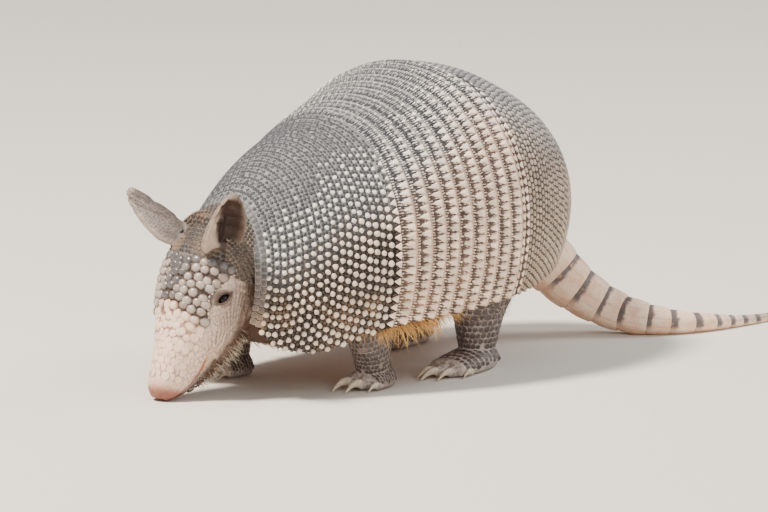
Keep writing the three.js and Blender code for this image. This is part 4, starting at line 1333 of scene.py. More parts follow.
# The skin round an eye: drawn in under the ball where the eye is open, drawn over it elsewhere.
def eyelids(points, side):
    centre = headPlace(0.0, 0.0, eye["s"])
    out = unit(headPlace(side, 0.0, eye["s"]) - centre)
    forward = unit(headPlace(0.0, 0.0, eye["s"] + 1) - centre)
    upward = np.cross(forward, out) * side
    turned = lambda a, b, angle: (
        a * math.cos(angle) + b * math.sin(angle), b * math.cos(angle) - a * math.sin(angle))
    out, upward = turned(out, upward, lids["turn"])
    long, tall = turned(forward, upward, lids["tilt"])
    p, q, h = ((points - eyes[side]) @ axis for axis in (long, tall, out))
    away = np.hypot(p, q)
    near = (away < 9) & (h > -2.5)
    e = np.hypot(p / lids["long"], q / (lids["tall"] * (1 - 0.25 * (p / lids["long"]) ** 2)))
    flat = np.minimum(away, eye["radius"] + 0.4)
    ball = np.sqrt(np.maximum(eye["radius"] ** 2 - flat**2, 0))
    cover = np.sqrt(np.maximum((eye["radius"] + lids["over"]) ** 2 - flat**2, 0))
    ridge = sum(height * np.exp(-(((e - place) / wide) ** 2)) for place, wide, height in lids["folds"])
    wanted = np.maximum(h, cover) + ridge
    wanted = np.where(e < 1, ball - lids["deep"] * smooth(1, 0.8, e), wanted)
    moved = h + (wanted - h) * smooth(lids["reach"], lids["reach"] - 3, away)
    return points + out * np.where(near, moved - h, 0)[:, None], np.where(near, e, 9)


folds = {"mouthFrom": 64, "mouthTo": 92, "mouthDeep": 1.3, "jawIn": 1.2, "wrinkle": 0.9, "wrinkleGap": 3.6,
         "neckDeep": 0.7, "neckGap": 4.6, "nostril": 1.5, "nostrilDeep": 2.2}


def mouthAngle(s):
    return np.interp(s, [63, 69, 74, 82, 92], [113, 117, 122, 127, 114])


# Mouth, jaw, cheek wrinkles, nostrils and neck folds, as one way in or out for each point.
def headRelief(points):
    across, up, s = headFrame(points)
    inside = np.clip(s, 0, 93)
    half = along(headStations, "s", "half", inside)
    tall = np.where(up > 0, along(headStations, "s", "up", inside), along(headStations, "s", "down", inside))
    away = np.hypot(across / half, up / tall)
    on = smooth(0.7, 0.85, away) * smooth(1.3, 1.15, away) * (s > -2) * (s < 97)
    angle = np.arctan2(np.abs(across) / half, up / tall) / degree
    radius = np.hypot(across, up)
    off = (angle - mouthAngle(s)) * degree * radius
    start, end = folds["mouthFrom"], folds["mouthTo"]
    here = smooth(start - 2, start + 4, s) * smooth(end + 2, end - 2, s)
    groove = np.exp(-((off / (0.7 + 0.7 * smooth(64, 70, s) * smooth(88, 80, s))) ** 2)) * here
    move = -folds["mouthDeep"] * groove + 0.35 * np.exp(-(((off + 1.6) / 1.0) ** 2)) * here
    move = move - folds["jawIn"] * smooth(0, 2, off) * here * smooth(180, 165, angle)
    cheek = smooth(96, 106, angle) * smooth(160, 146, angle) * smooth(18, 28, s) * smooth(70, 58, s)
    line = angle * degree * radius - 0.42 * (s - 34) + 0.9 * np.sin(s * 0.33 + 1.3)
    wave = np.sin(line * 2 * math.pi / folds["wrinkleGap"])
    move = move - folds["wrinkle"] * cheek * smooth(0.2, 1.0, wave)
    nose = np.hypot(np.abs(across) - 3.3, up - 0.6)
    move = move * on
    neck = smooth(4, -1, s) * smooth(-26, -18, s) * smooth(34, 60, np.arctan2(np.abs(across), up) / degree)
    ripple = np.sin((s + 0.12 * np.abs(across) + 0.8 * np.sin(up * 0.21)) * 2 * math.pi / folds["neckGap"])
    move = move - folds["neckDeep"] * neck * smooth(0.1, 1.0, ripple)
    hole = smooth(folds["nostril"], 0.5, nose) * smooth(89.5, 91.5, s)
    axis = unit(headPlace(0.0, 0.0, 10.0) - headPlace(0.0, 0.0, 0.0))
    # Colour masks: fold and throat mark the grooves of the cheek wrinkles and neck folds, for painted shade
    # in them.
    masks = {"mouth": groove * on, "fold": cheek * on * smooth(0.3, 1.0, wave), "nostril": hole,
             "throat": neck * smooth(0.1, 1.0, ripple)}
    return move, masks, -axis * folds["nostrilDeep"] * hole[:, None]


lidDistance = np.full(len(body), 9.0)
for side in (1, -1):
    body, e = eyelids(body, side)
    lidDistance = np.minimum(lidDistance, e)
movePoints(plain, placed(body))
relief, masks, nostrilMove = headRelief(body)
body = body + normalsOf(plain) * relief[:, None] + nostrilMove
body[:, 2] = np.maximum(body[:, 2], 0.02)
movePoints(plain, placed(body))

# Colours come from the nearest points of the forms.
tree = kdtree.KDTree(len(formPoints))
for i, p in enumerate(formPoints):
    tree.insert(p, i)
tree.balance()
nearest = np.array([[(j, d) for _, j, d in tree.find_n(p, 4)] for p in body])
which, weight = nearest[..., 0].astype(int), 1 / (nearest[..., 1] + 0.3) ** 2
weight = weight / weight.sum(1, keepdims=True)
kinds = np.concatenate([np.full(len(f["points"]), k) for k, f in enumerate(forms)])
names = np.array([f["name"] for f in forms])[kinds[which[:, 0]]]
nearTail, onHead = names == "tail", names == "head"
onEars = [snapped(body, form, 1.2, (0.1, 0.3))[1:] for form in earForms]
for key in ("tint", "scaly", "spotted"):
    source = np.concatenate([f.get(key, np.zeros(len(f["points"]))) for f in forms])
    found = (source[which] * (weight if source.ndim == 1 else weight[..., None])).sum(1)
    if key == "tint":
        found = tinted(
            found,
            (0.9 * smooth(3.0, 1.5, lidDistance), "lids"),
            (smooth(1.3, 1.0, lidDistance), "lidEdge"),
            (0.9 * smooth(0.3, 0.85, masks["mouth"]), "mouth"),
            # painted shade in the grooves of the cheek wrinkles
            (0.7 * masks["fold"], "fold"),
            (0.95 * masks["nostril"], "nostril"),
            # painted shade in the grooves of the neck folds
            (0.6 * masks["throat"], "throat"))
        for chosen, values in onEars:
            pull = smooth(0.04, 0.12, values["share"])
            found[chosen] = blend(pull, found[chosen], values["tint"])
    if key == "spotted":
        for chosen, values in onEars:
            found[chosen] = values["spotted"]
    setValue(plain, key, found)
across, up, s = headFrame(body)
setValue(plain, "creased", onHead * smooth(12, 34, s) * smooth(88, 80, s))
flat = np.zeros((len(body), 3))
for chosen, values in onEars:
    flat[chosen] = values["flat"]
setValue(plain, "flat", flat)
print("skin coloured")


def skinPaint():
    p = Paint("skin", 0.55, 0.4)
    broad, fine, tiny = p.noise(7, 3), p.noise(1.6, 4), p.noise(0.45, 3)
    scaly = p.value("scaly")
    cell = p.cells(2.7, (1, 1, 0.75), "DISTANCE_TO_EDGE")
    dark = p.times(p.span(cell, 0.03, 0.16), scaly)
    shades = p.span(broad, 0.25, 0.75, 0.85, 1.1), p.span(fine, 0.25, 0.75, 0.82, 1.13)
    crease = p.span(p.cells(1.9, (1, 1, 0.6), "DISTANCE_TO_EDGE"), 0.14, 0.03)
    crease = p.times(p.times(crease, p.value("creased")), p.span(broad, 0.3, 0.6, 0.15, 0.6))
    spot = p.cells(1.3, (0.75 * mm, 1.2 * mm, 0), place=p.value("flat", "Vector"), randomness=0.5)
    spots = p.times(p.span(spot, 0.56, 0.38), p.value("spotted"))
    p.set("Base Color", p.over(
        p.shaded(p.value("tint", "Vector"), *shades),
        (crease, rgb(122, 98, 86)),
        (p.times(dark, p.span(broad, 0.35, 0.65, 0.6, 0.95)), rgb(84, 68, 66)),
        (p.times(spots, 0.85), rgb(66, 52, 46))))
    p.bump(p.times(p.span(cell, 0.02, 0.2), scaly), 0.5, 0.8)
    p.bump(p.math("SUBTRACT", 1.0, crease), 0.25, 0.7)
    p.bump(fine, 0.35, 0.5)
    p.bump(tiny, 0.12, 0.6)
    return p.material


rough.data.materials.clear()
rough.data.materials.append(skinPaint())
smoothShaded(rough.data)
fleshNodes = ["trunk", "neck", "head", "ear_left", "ear_right", "tail_1", "tail_2", "tail_3", "tail_4"]
fleshNodes += [part + name for name in legs for part in ("leg_", "foot_")]
# What the shell and the tail rings hide can be coarser.
hiddenGroup = rough.vertex_groups.new(name="hidden")
covered = (body[:, 2] > 54) & (s < -14) & (body[:, 1] < 190)
sleeved = nearTail & ~covered
for mask, weight in ((covered, 1.0), (sleeved, skinSize["sleeved"]), (~covered & ~sleeved, skinSize["kept"])):
    hiddenGroup.add(np.flatnonzero(mask).tolist(), weight, "REPLACE")
thin = rough.modifiers.new("thin", "DECIMATE")
thin.ratio = skinSize["most"] / triangles(rough)
thin.vertex_group = "hidden"
thin.vertex_group_factor = 1.0
plain = applied(rough)
finishPiece(rough, fleshNodes)
print("skin ready", triangles(rough))

eyePaint = Paint("eye", 0.14, 0.2)
eyePaint.set("Base Color", rgb(14, 9, 7))
eyePaint.set("Coat Weight", 0.2)
eyePaint.set("Coat Roughness", 0.08)
for side, name in ((1, "eye_left"), (-1, "eye_right")):
    turn, angle = (np.arange(1, 24) * math.pi / 24)[:, None], circle(40)
    rings = stack(np.sin(turn) * np.cos(angle), np.sin(turn) * np.sin(angle), np.cos(turn))
    ball = newMesh(name + "_ball", *loftFaces(rings * eye["radius"] + eyes[side]))
    ball.data.materials.append(eyePaint.material)
    finishPiece(ball, (name,))

clawForm = {"sunk": 2.5, "taper": 0.8, "flat": 0.8, "splay": 0.1, "height": 1.5, "arch": 0.5, "fall": 1.25}
clawPaint = Paint("claw", 0.38, 0.5)
streaks = clawPaint.noise(1.2, 3)
clawTone = clawPaint.mix(clawPaint.span(streaks, 0.3, 0.75), rgb(196, 176, 150), rgb(226, 212, 190))
clawPaint.set("Base Color", clawTone)
clawPaint.bump(streaks, 0.15, 0.5)
for name, foot in feet.items():
    outward = 1 if name.endswith("left") else -1
    for k, (across, past, length, thick) in enumerate(claws[name.split("_")[0]]):
        u = np.concatenate([np.linspace(0, 0.97, 16), [0.99, 1.0]])
        blunt = np.where(u > 0.995, 0.45, np.where(u > 0.98, 0.8, 1))
        radius = thick * (1 - clawForm["taper"] * u**1.3) * blunt
        rise = clawForm["height"] + clawForm["arch"] * np.sin(math.pi * u) - clawForm["fall"] * u * u
        place = across * foot["half"] * 0.88 * outward * (1 + clawForm["splay"] * u)
        ahead = foot["length"] + past - clawForm["sunk"] + length * u
        rings = toeRings(foot, place, ahead, thick * rise, radius, 20, 0.05, clawForm["flat"])
        node = "claw_%s_%d" % (name, k + 1)
        piece = newMesh(node + "_horn", *loftFaces(rings))
        piece.data.materials.append(clawPaint.material)
        finishPiece(piece, (node,))
print("eyes and claws ready")

headSpan = (150.0, 100.0)  # across the head and along it, for the bake maps


# Seeds on the head between two places along it, in rows across, each row within +- spread degrees.
def headSeeds(fromS, toS, spacing, spread, height, lift=0.0, fill=0.93, stretch=1.0, shake=0.05):
    rows = max(int(round((toS - fromS) / (spacing * 0.87 * stretch))), 1)
    gap = (toS - fromS) / rows
    out = []
    for r in range(rows):
        s = fromS + (r + 0.5) * gap
        fine = np.linspace(0, spread(s) * degree, 90)
        length = arcLengths(headPoint(s, fine))
        reach = np.arange(0.5 * (r % 2), length[-1] / spacing + 0.01) * spacing
        angle = np.interp(reach, length, fine)
        angle = np.concatenate([-angle[angle > 0][::-1], angle])
        out.append(np.stack([np.full(len(angle), s), angle], -1))
    s, angle = np.concatenate(out).T
    s = s + gap * draw.normal(0, shake, len(s))
    angle = angle + draw.normal(0, shake * 0.12, len(s))
    at = headPoint(s, angle, lift)
    across = headPoint(s, angle + 0.02) - headPoint(s, angle - 0.02)
    way = headPoint(s - 0.5, angle) - headPoint(s + 0.5, angle)
    size = sizesOf(spacing * fill, gap * fill * 1.12, height, s)
    arc = np.abs(angle) * 22
    root = np.column_stack([0.5 + np.sign(angle) * arc / headSpan[0], 0.03 + mapShare * s / headSpan[1]])
    pearl = smooth(6, 30, np.abs(angle) / degree) * smooth(16, 28, s)
    pink = smooth(44, 56, s + 0.12 * (np.abs(angle) / degree))
    return newSeeds(at, across, way, size, root, pale=pearl, crown=pink)


headShield = {"from": 9, "to": 62, "netTo": 17, "cell": 2.8, "pebble": 5.3, "endMiddle": 44, "endSide": 53}


def shieldSpread(s):
    return np.interp(s, [9, 16, 22, 27, 31, 36, 41, 46, 52, 62], [84, 92, 90, 82, 71, 66, 69, 80, 85, 84])


# Where the shield's pebbles end, s for each seed, and how far round the head the seed is.
def shieldEnd(seeds):
    across, up, s = headFrame(seeds["at"])
    angle = np.arctan2(np.abs(across), up) / degree
    return headShield["endMiddle"] + (headShield["endSide"] - headShield["endMiddle"]) * angle / 80, s, angle


def pebblePaint(name, roughness, rimFrom, rimWide=0.3):
    p = Paint(name, roughness, 0.5)
    tone, rim = p.value("tone"), p.value("rim")
    fine, broad = p.noise(0.7, 4), p.noise(5, 2)
    pearl = p.swayed(p.value("pale"), tone, 0.6)
    pink = p.span(p.swayed(p.value("crown"), tone, 0.4), 0.2, 0.8)
    colour = p.over(
        rgb(92, 90, 92),
        (p.span(pearl, 0.1, 0.9), rgb(178, 164, 154)),
        (p.times(p.span(tone, 0.72, 0.95), 0.5), rgb(132, 106, 88)),
        # near-white flecks: painted highlights on the glossy pebbles
        (p.times(p.span(fine, 0.55, 0.75), 0.25), rgb(228, 222, 216)),
        (pink, rgb(248, 216, 194)),
        # the darker rim: wide and soft on the pebbles, where it is painted shade round each dome; narrow on
        # the snout plates, where it is their brown outline
        (p.span(p.swayed(rim, fine, 0.3), rimFrom, rimFrom + rimWide),
         p.mix(pink, rgb(96, 82, 76), rgb(190, 150, 126))))
    colour = p.shaded(colour, p.span(fine, 0.2, 0.8, 0.86, 1.1), p.span(broad, 0.3, 0.7, 0.9, 1.06))
    p.set("Base Color", colour)
    p.bump(fine, 0.12, 0.5)
    return p.material


def shieldSlab():
    s, side = gridOf(np.linspace(headShield["from"], headShield["to"], 44), np.linspace(-1, 1, 61))
    angle = shieldSpread(s) * degree * side
    far = (s - headShield["from"]) / (headShield["to"] - headShield["from"])
    edge = smooth(1, 0.93, np.abs(side)) * smooth(0, 0.04, far) * smooth(1, 0.88, far)
    sheet = slabFaces(headPoint(s, angle, -0.35 + 0.6 * edge), headPoint(s, angle, -0.9))
    slab = newMesh("head_shield_sheet", *sheet)
    setValues(slab.data, pink=slabValues(smooth(44, 56, s)), net=slabValues(smooth(24, 18, s)))
    p = Paint("shield_sheet", 0.7, 0.3)
    colour = p.mix(p.value("pink"), rgb(78, 66, 60), rgb(186, 148, 126))
    colour = p.mix(p.times(p.value("net"), 0.8), colour, rgb(116, 108, 102))
    p.set("Base Color", colour)
    p.bump(p.noise(0.5, 2), 0.12, 0.6)
    slab.data.materials.append(p.material)
    finishPiece(slab, ("head_shield",))


shieldSlab()
# The pebbles' wide rim is painted shade; the snout plates' narrow one is their outline.
paint["pebble"] = pebblePaint("pebble", 0.22, 0.5, 0.5)
paint["plate"] = pebblePaint("plate", 0.38, 0.66)
netTones = rgb(62, 54, 51), rgb(136, 124, 114), rgb(50, 47, 48), rgb(122, 115, 109)
paint["netCell"] = hornPaint("net_cell", *netTones, 0.75)
inside = lambda s: shieldSpread(s) - 3
net = headSeeds(headShield["from"] + 0.5, headShield["netTo"], headShield["cell"], inside, 0.4, 0.35, 1.02)
pebbles = headSeeds(headShield["netTo"], 56, headShield["pebble"], inside, 1.75, 0.3, 1.22, 0.9, 0.14)
ends, s, angle = shieldEnd(pebbles)
pebbles["size"][:, 2] *= (1 - 0.6 * smooth(-2, 1, s - ends)) * (1 - 0.3 * smooth(30, 18, s))
pebbles["values"]["crown"] = smooth(-4, 1.5, s - ends)
pebbles["values"]["pale"] = smooth(4, 34, angle) * smooth(15, 24, s)
pebbles = pickSeeds(pebbles, s < ends + 3)
made = mixedPlates("net", net, shape["cell"], paint["netCell"], 200, unevenness=0.1)

# A row of small beads just inside either edge of the shield.
rope = {"from": 10, "to": 55, "step": 2.3, "width": 1.5, "length": 2.5, "height": 0.8, "inside": 1.0}


def ropeSeeds():
    fine = np.linspace(rope["from"], rope["to"], 200)
    edge = lambda s: shieldSpread(s) - rope["inside"]
    out = []
    for side in (1, -1):
        reach = arcLengths(headPoint(fine, side * edge(fine) * degree))
        s = np.interp(np.arange(rope["step"] / 2, reach[-1], rope["step"]), reach, fine)
        angle = side * edge(s) * degree
        nudge = side * (shieldSpread(s + 0.4) - shieldSpread(s - 0.4)) * degree
        way = headPoint(s + 0.4, angle + nudge / 2) - headPoint(s - 0.4, angle - nudge / 2)
        up = headPoint(s, angle, 1.0) - headPoint(s, angle)
        size = sizesOf(rope["width"], rope["length"], rope["height"], s)
        root = np.column_stack([0.5 + side * 0.36 + 0 * s, 0.03 + mapShare * s / headSpan[1]])
        at = headPoint(s, angle, 0.15)
        out.append(newSeeds(at, np.cross(way, up), way, size, root, pale=1 + 0 * s, crown=0.55 + 0 * s))
    return mergeSeeds(out)


made += mixedPlates("rope", ropeSeeds(), shape["flake"], paint["pebble"], 220, unevenness=0.15, lean=0.06)
made += mixedPlates("pebble", pebbles, shape["pebble"], paint["pebble"], 210, unevenness=0.1, lean=0.06)
platePiece("head_shield_scutes", made, headSpan)

# Flat plates run on over the snout, and a net of small cells over the nape.
snoutSpread = lambda s: np.interp(s, [46, 56, 64, 80], [82, 88, 92, 96])
snout = headSeeds(46, 84, 4.3, snoutSpread, 0.5, -0.1, 1.28, 1.0, 0.16)
ends, s, angle = shieldEnd(snout)
snout = pickSeeds(snout, s > 2.5 + ends)
out = np.where(headFrame(snout["at"])[2] < headShield["to"] - 1, 0.3, 0.0)
snout["values"]["crown"] = 1 + 0 * out
snout["at"] = snout["at"] + snout["axes"][:, :, 2] * out[:, None]
snout["size"][:, 2] *= 1 - 0.5 * smooth(64, 80, headFrame(snout["at"])[2])
napeSpread = lambda s: np.interp(s, [-6, 9], [72, 38])
napeSeeds = headSeeds(-6, headShield["from"] + 0.5, 3.0, napeSpread, 0.45, 0.1, 1.0)
# The neck rises over the back of the head, so these plates are let down onto the skin.
skinFaces = [tuple(p.vertices) for p in rough.data.polygons]
skinTree = BVHTree.FromPolygons(bodyOf(rough.data).tolist(), skinFaces)
for i, normal in enumerate(napeSeeds["axes"][:, :, 2]):
    hit = skinTree.ray_cast(napeSeeds["at"][i] + 3 * normal, -normal, 5)[0]
    if hit is not None:
        napeSeeds["at"][i] = np.array(hit) + 0.1 * normal
made = mixedPlates("snout", snout, shape["pebble"], paint["plate"], 230, unevenness=0.12, lean=0.05)
made += mixedPlates("nape", napeSeeds, shape["cell"], paint["netCell"], 240, unevenness=0.1)
platePiece("head_scales", made, headSpan)


# Seeds on a grid of rings, on every ring point, every second ring half a step round.
def gridSeeds(rings, share, width, length, height, lift=0.0, mask=None, **values):
    rows, sides = rings.shape[:2]
    shifted = rings.copy()
    shifted[1::2] = 0.5 * (rings[1::2] + np.roll(rings[1::2], -1, 1))
    across = np.roll(shifted, -1, 1) - np.roll(shifted, 1, 1)
    way = np.gradient(rings, axis=0)
    middle = rings.mean(1, keepdims=True)
    turned = np.sum(np.cross(across, way) * (shifted - middle), -1, keepdims=True) < 0
    across = np.where(turned, -across, across)
    at = shifted + unit(np.cross(across, way)) * lift
    i, r = np.meshgrid(np.arange(sides) / sides, np.arange(rows) / rows)
    root = np.stack([0.03 + 0.94 * i, share[0] + (share[1] - share[0]) * r], -1)
    size = sizesOf(width, length, height, np.zeros(rings.shape[:2]))
    flat = lambda v: v.reshape(-1, v.shape[-1])
    values = {k: np.broadcast_to(v, rings.shape[:2]).ravel() for k, v in values.items()}
    seeds = newSeeds(flat(at), flat(across), flat(way), flat(size), flat(root), **values)
    return seeds if mask is None else pickSeeds(seeds, mask.ravel())


neckNet = {"rows": 40, "around": 52, "from": 0.42, "below": 12}  # every second of the rows is used
rings, u, angle = limbRings(neckStations, neckNet["rows"], neckNet["around"])
rings = rings[int(neckNet["from"] * (neckNet["rows"] - 1))::2]
isUpper = rings[..., 2] > rings[..., 2].mean(1, keepdims=True) - neckNet["below"]
neckTones = rgb(76, 63, 55), rgb(160, 141, 123), rgb(64, 55, 50), rgb(142, 127, 113)
paint["neckCell"] = hornPaint("neck_cell", *neckTones, 0.64)
necks = gridSeeds(rings, (0.1, 0.9), 2.3, 3.4, 0.7, 0.15, isUpper, pale=0.3, crown=0.6)
made = mixedPlates("neck", necks, shape["flake"], paint["neckCell"], 250, unevenness=0.14, lean=0.1)
platePiece("neck_scales", made, patch=0.02)

tailRing = {
    "at": [-3, 13, 26, 39, 52, 66, 81.5, 95.3, 109.5, 121.2, 135, 149.5], "tipLength": 10.5, "wall": 1.5,
    "flare": 0.7, "rows": 22, "dark": 0.24, "scute": 4.3, "side": 0.75,
}


def ringStarts():
    starts = list(tailRing["at"])
    while starts[-1] < tailDistance[-1] - 2 * tailRing["tipLength"]:
        starts.append(starts[-1] + tailRing["tipLength"])
    return starts + [tailDistance[-1]]


def tailPiece():
    starts = ringStarts()
    made = []
    for k, (a, b) in enumerate(zip(starts[:-1], starts[1:])):
        middle = np.interp((a + b) / 2, tailDistance, tailU)
        radius = float(cubic(np.arange(len(tailAt)), tailSize, middle * (len(tailAt) - 1)))
        sides = int(np.clip(2 * math.pi * radius / tailRing["side"], 28, 120))
        count = max(int(round(2 * math.pi * radius / tailRing["scute"])), 7)
        v = np.concatenate([[0, 0.02], np.linspace(0.05, 0.95, tailRing["rows"]), [0.985, 1.0]])
        far, angle = gridOf(v, circle(sides))
        flare = tailRing["flare"] * min(1, radius / 9)
        lift = -0.55 * flare + 1.05 * flare * far
        lift += 0.9 * flare * np.sin(math.pi * far) ** 0.8
        groove = np.abs(np.sin(0.5 * count * angle + (k % 2) * 0.5 * math.pi)) * smooth(0.0, 0.12, far)
        lift -= 0.4 * flare * smooth(0.28, 0.0, groove) * smooth(0.98, 0.7, far)
        lift -= 0.3 * flare * np.exp(-((far - 0.26) / 0.03) ** 2)
        lift = lift - 0.9 * flare * smooth(0.96, 1.0, far) ** 2 - 0.4 * flare * smooth(0.03, 0.0, far)
        distance = a + (b - a + 0.6) * v
        wall = -tailRing["wall"] * min(1, radius / 6) - 0.5 * flare
        outer = tailRings(distance, circle(sides), lift)
        rings = np.concatenate([outer, tailRings(distance[::-1], circle(sides), wall)])
        rings[..., 2] = np.maximum(rings[..., 2], 0.05)
        rows = len(rings)
        faces = ringQuads(rows + 1, sides) % (rows * sides)  # the last ring meets the first
        ring = newMesh("ring%d" % k, rings.reshape(-1, 3), [faces])
        values = {
            "along": far,
            "slate": smooth(120, 215, a) * smooth(-0.6, 0.5, -np.sin(angle)),
            "upper": 0.5 - 0.5 * np.sin(angle),
            "tip": smooth(90, 200, a) + 0 * far,
            "groove": smooth(0.3, 0.02, groove),
            "across": (angle / (2 * math.pi) + 0.02 * k) % 1.0,
        }
        setValues(ring.data, **{key: np.concatenate([x, x[::-1]]).ravel() for key, x in values.items()})
        made.append(ring)
    return joined("tail_rings", made)


def tailPaint():
    p = Paint("tail_rings", 0.5, 0.4)
    fine, broad, spots = p.noise(0.9, 3), p.noise(6, 3), p.noise(3.2, 3)
    uneven = p.swayed(p.value("along"), spots, 0.3)
    wide = p.math("ADD", tailRing["dark"], p.times(p.value("tip"), 0.16))
    dark = p.math("SUBTRACT", 1.0, p.span(p.math("SUBTRACT", uneven, wide), -0.05, 0.08))
    dark = p.times(dark, p.span(p.noise(6, 2), 0.2, 0.4))
    dark = p.times(dark, p.span(p.value("upper"), 0.12, 0.42))
    patch = p.span(broad, 0.3, 0.7)
    colour = p.over(
        rgb(246, 200, 168),
        (patch, rgb(255, 228, 202)),
        (p.times(p.value("groove"), 0.35), rgb(190, 146, 120)),
        (p.times(p.span(p.value("upper"), 0.3, 0.0), 0.45), rgb(176, 116, 84)),
        (p.times(p.value("slate"), p.span(spots, 0.25, 0.6)), rgb(128, 128, 136)),
        (p.times(dark, 0.9), p.mix(patch, rgb(62, 61, 70), rgb(92, 88, 92))))
    p.set("Base Color", p.shaded(colour, p.span(fine, 0.2, 0.8, 0.9, 1.08)))
    p.bump(fine, 0.15, 0.5)
    return p.material


# A bunch of thin tapered strands, set like the plates. It reaches one unit along Y. Each strand has
# three sides and bends as it goes.
def bunchShape(name, strands, spread, thick, curl, steps=3):
    points, faces, rim, spot = [], [], [], []
    for _ in range(strands):
        turn, length = draw.uniform(-spread, spread), draw.uniform(0.6, 1.0)
        rise, bow = draw.uniform(0.05, curl), draw.uniform(-0.15, 0.15)
        base = np.array([draw.uniform(-spread, spread) * 0.3, draw.uniform(-0.1, 0.1), -0.02])
        u = np.linspace(0, 1, steps + 1)[:-1]
        middle = lambda v: base + np.array([
            np.sin(turn) * v * length + bow * v * v, np.cos(turn) * v * length, rise * np.sin(1.9 * v)])
        angle = circle(3)
        around = stack(np.cos(angle), 0, np.sin(angle))
        first = len(points)
        for v in u:
            points += list(middle(v) + around * thick * (1 - 0.75 * v))
            rim += [v * 0.9] * 3
            spot += [(turn + 0.12 * k, v - 0.5 - 0.1 * (k == 0), 0) for k in (-1, 0, 1)]
        points.append(middle(1.0))
        rim.append(0.9)
        spot.append((turn, 0.5, 0))
        for row in range(steps - 1):
            for k in range(3):
                a, b = first + 3 * row + k, first + 3 * row + (k + 1) % 3
                faces.append((a, b, b + 3, a + 3))
        tip = first + 3 * steps
        faces += [(tip - 3 + k, tip - 3 + (k + 1) % 3, tip) for k in range(3)]
        faces.append((first + 2, first + 1, first))
    quads, threes = ([f for f in faces if len(f) == corners] for corners in (4, 3))
    made = newMesh(name, points, [quads, threes], isPlaced=False)
    setValues(made.data, rim=np.array(rim), spot=np.array(spot))
    made.hide_render = True
    patterns.append(made)
    return made


def hairPaint(name, root, tip, roughness=0.5):
    p = Paint(name, roughness, 0.3)
    colour = p.mix(p.span(p.value("rim"), 0.0, 0.7), root, tip)
    p.set("Base Color", p.shaded(colour, p.math("ADD", 0.72, p.times(p.value("tone"), 0.5))))
    return p.material


legScale = {
    "rows": 17, "around": 26, "from": 0.28, "wide": 1.34, "long": 1.24, "high": 0.4,
    "footRows": 9, "footAround": 22,
}
legTones = rgb(80, 70, 68), rgb(160, 144, 136)
paint["legCell"] = hornPaint("leg_cell", *legTones, *legTones, 0.68)


# Scales over rings of a limb; share is their part of the bake map, low makes those of the foot finer.
def limbScales(rings, share, lift, mask, low=1.0):
    around = np.linalg.norm(np.roll(rings, -1, 1) - rings, axis=-1)
    length = np.linalg.norm(np.gradient(rings, axis=0), axis=-1)
    return gridSeeds(rings, share, around * legScale["wide"], length * legScale["long"] * low,
                     legScale["high"] * low, lift, mask, pale=0.5, crown=0.5)


def legScales(name):
    rings, u, angle = limbRings(legs[name], legScale["rows"], legScale["around"])
    mask = (u > legScale["from"])[:, None] & (draw.random(rings.shape[:2]) < 0.97)
    leg = limbScales(rings, (0.02, 0.5), 0.05, mask)
    angle = circle(legScale["footAround"])
    rings = footRings(feet[name], np.linspace(0.1, 0.9, legScale["footRows"]), angle)
    mask = (np.sin(angle) > -0.1) & (rings[..., 2] > 1.5)
    return mergeSeeds([leg, limbScales(rings, (0.5, 0.98), 0.0, mask, 0.8)])


for k, name in enumerate(legs):
    made = mixedPlates("scale", legScales(name), shape["flake"], paint["legCell"], 270 + 4 * k,
                       unevenness=0.2, lean=0.1)
    platePiece("scales_" + name, made, patch=0.02)

hair = {"belly": 9.0, "jaw": 6.5, "jawGap": 2.5, "wart": 1.4, "leg": 7.0}  # lengths in millimetres
shape["tuft"] = [bunchShape("tuft%d" % k, 7, 0.42, 0.02, 0.25, 2) for k in range(3)]
shape["hair"] = [bunchShape("hair%d" % k, 3, 0.45, 0.024, 0.3) for k in range(3)]
paint["bellyHair"] = hairPaint("belly_hair", rgb(150, 96, 48), rgb(222, 176, 112))
paint["paleHair"] = hairPaint("pale_hair", rgb(176, 150, 124), rgb(240, 226, 204))
paint["wart"] = hornPaint("wart", rgb(96, 74, 64), rgb(132, 106, 90), rgb(82, 66, 60), rgb(120, 100, 88), 0.7)


# Seeds over a grid of points (rows by columns): each lies along `way`, with its Z off the surface.
def furSeeds(grid, outward, way, length, share, mask, turn=0.35):
    count = int(mask.sum())
    at, normal = grid[mask], unit(outward[mask])
    way = np.broadcast_to(way, grid.shape)[mask] + normal * 0.15
    way = unit(way + draw.normal(0, turn, (count, 3)))
    across = np.cross(way, normal)
    length = np.broadcast_to(length, grid.shape[:2])[mask][:, None] * draw.uniform(0.7, 1.2, (count, 1))
    r, c = gridOf(*(np.arange(n) / n for n in grid.shape[:2]))
    root = np.stack([share[0] + (share[1] - share[0]) * c[mask], 0.02 + 0.96 * r[mask]], -1)
    half = np.full(count, 0.5)
    return newSeeds(at, across, way, np.repeat(length, 3, 1), root, pale=half, crown=half)


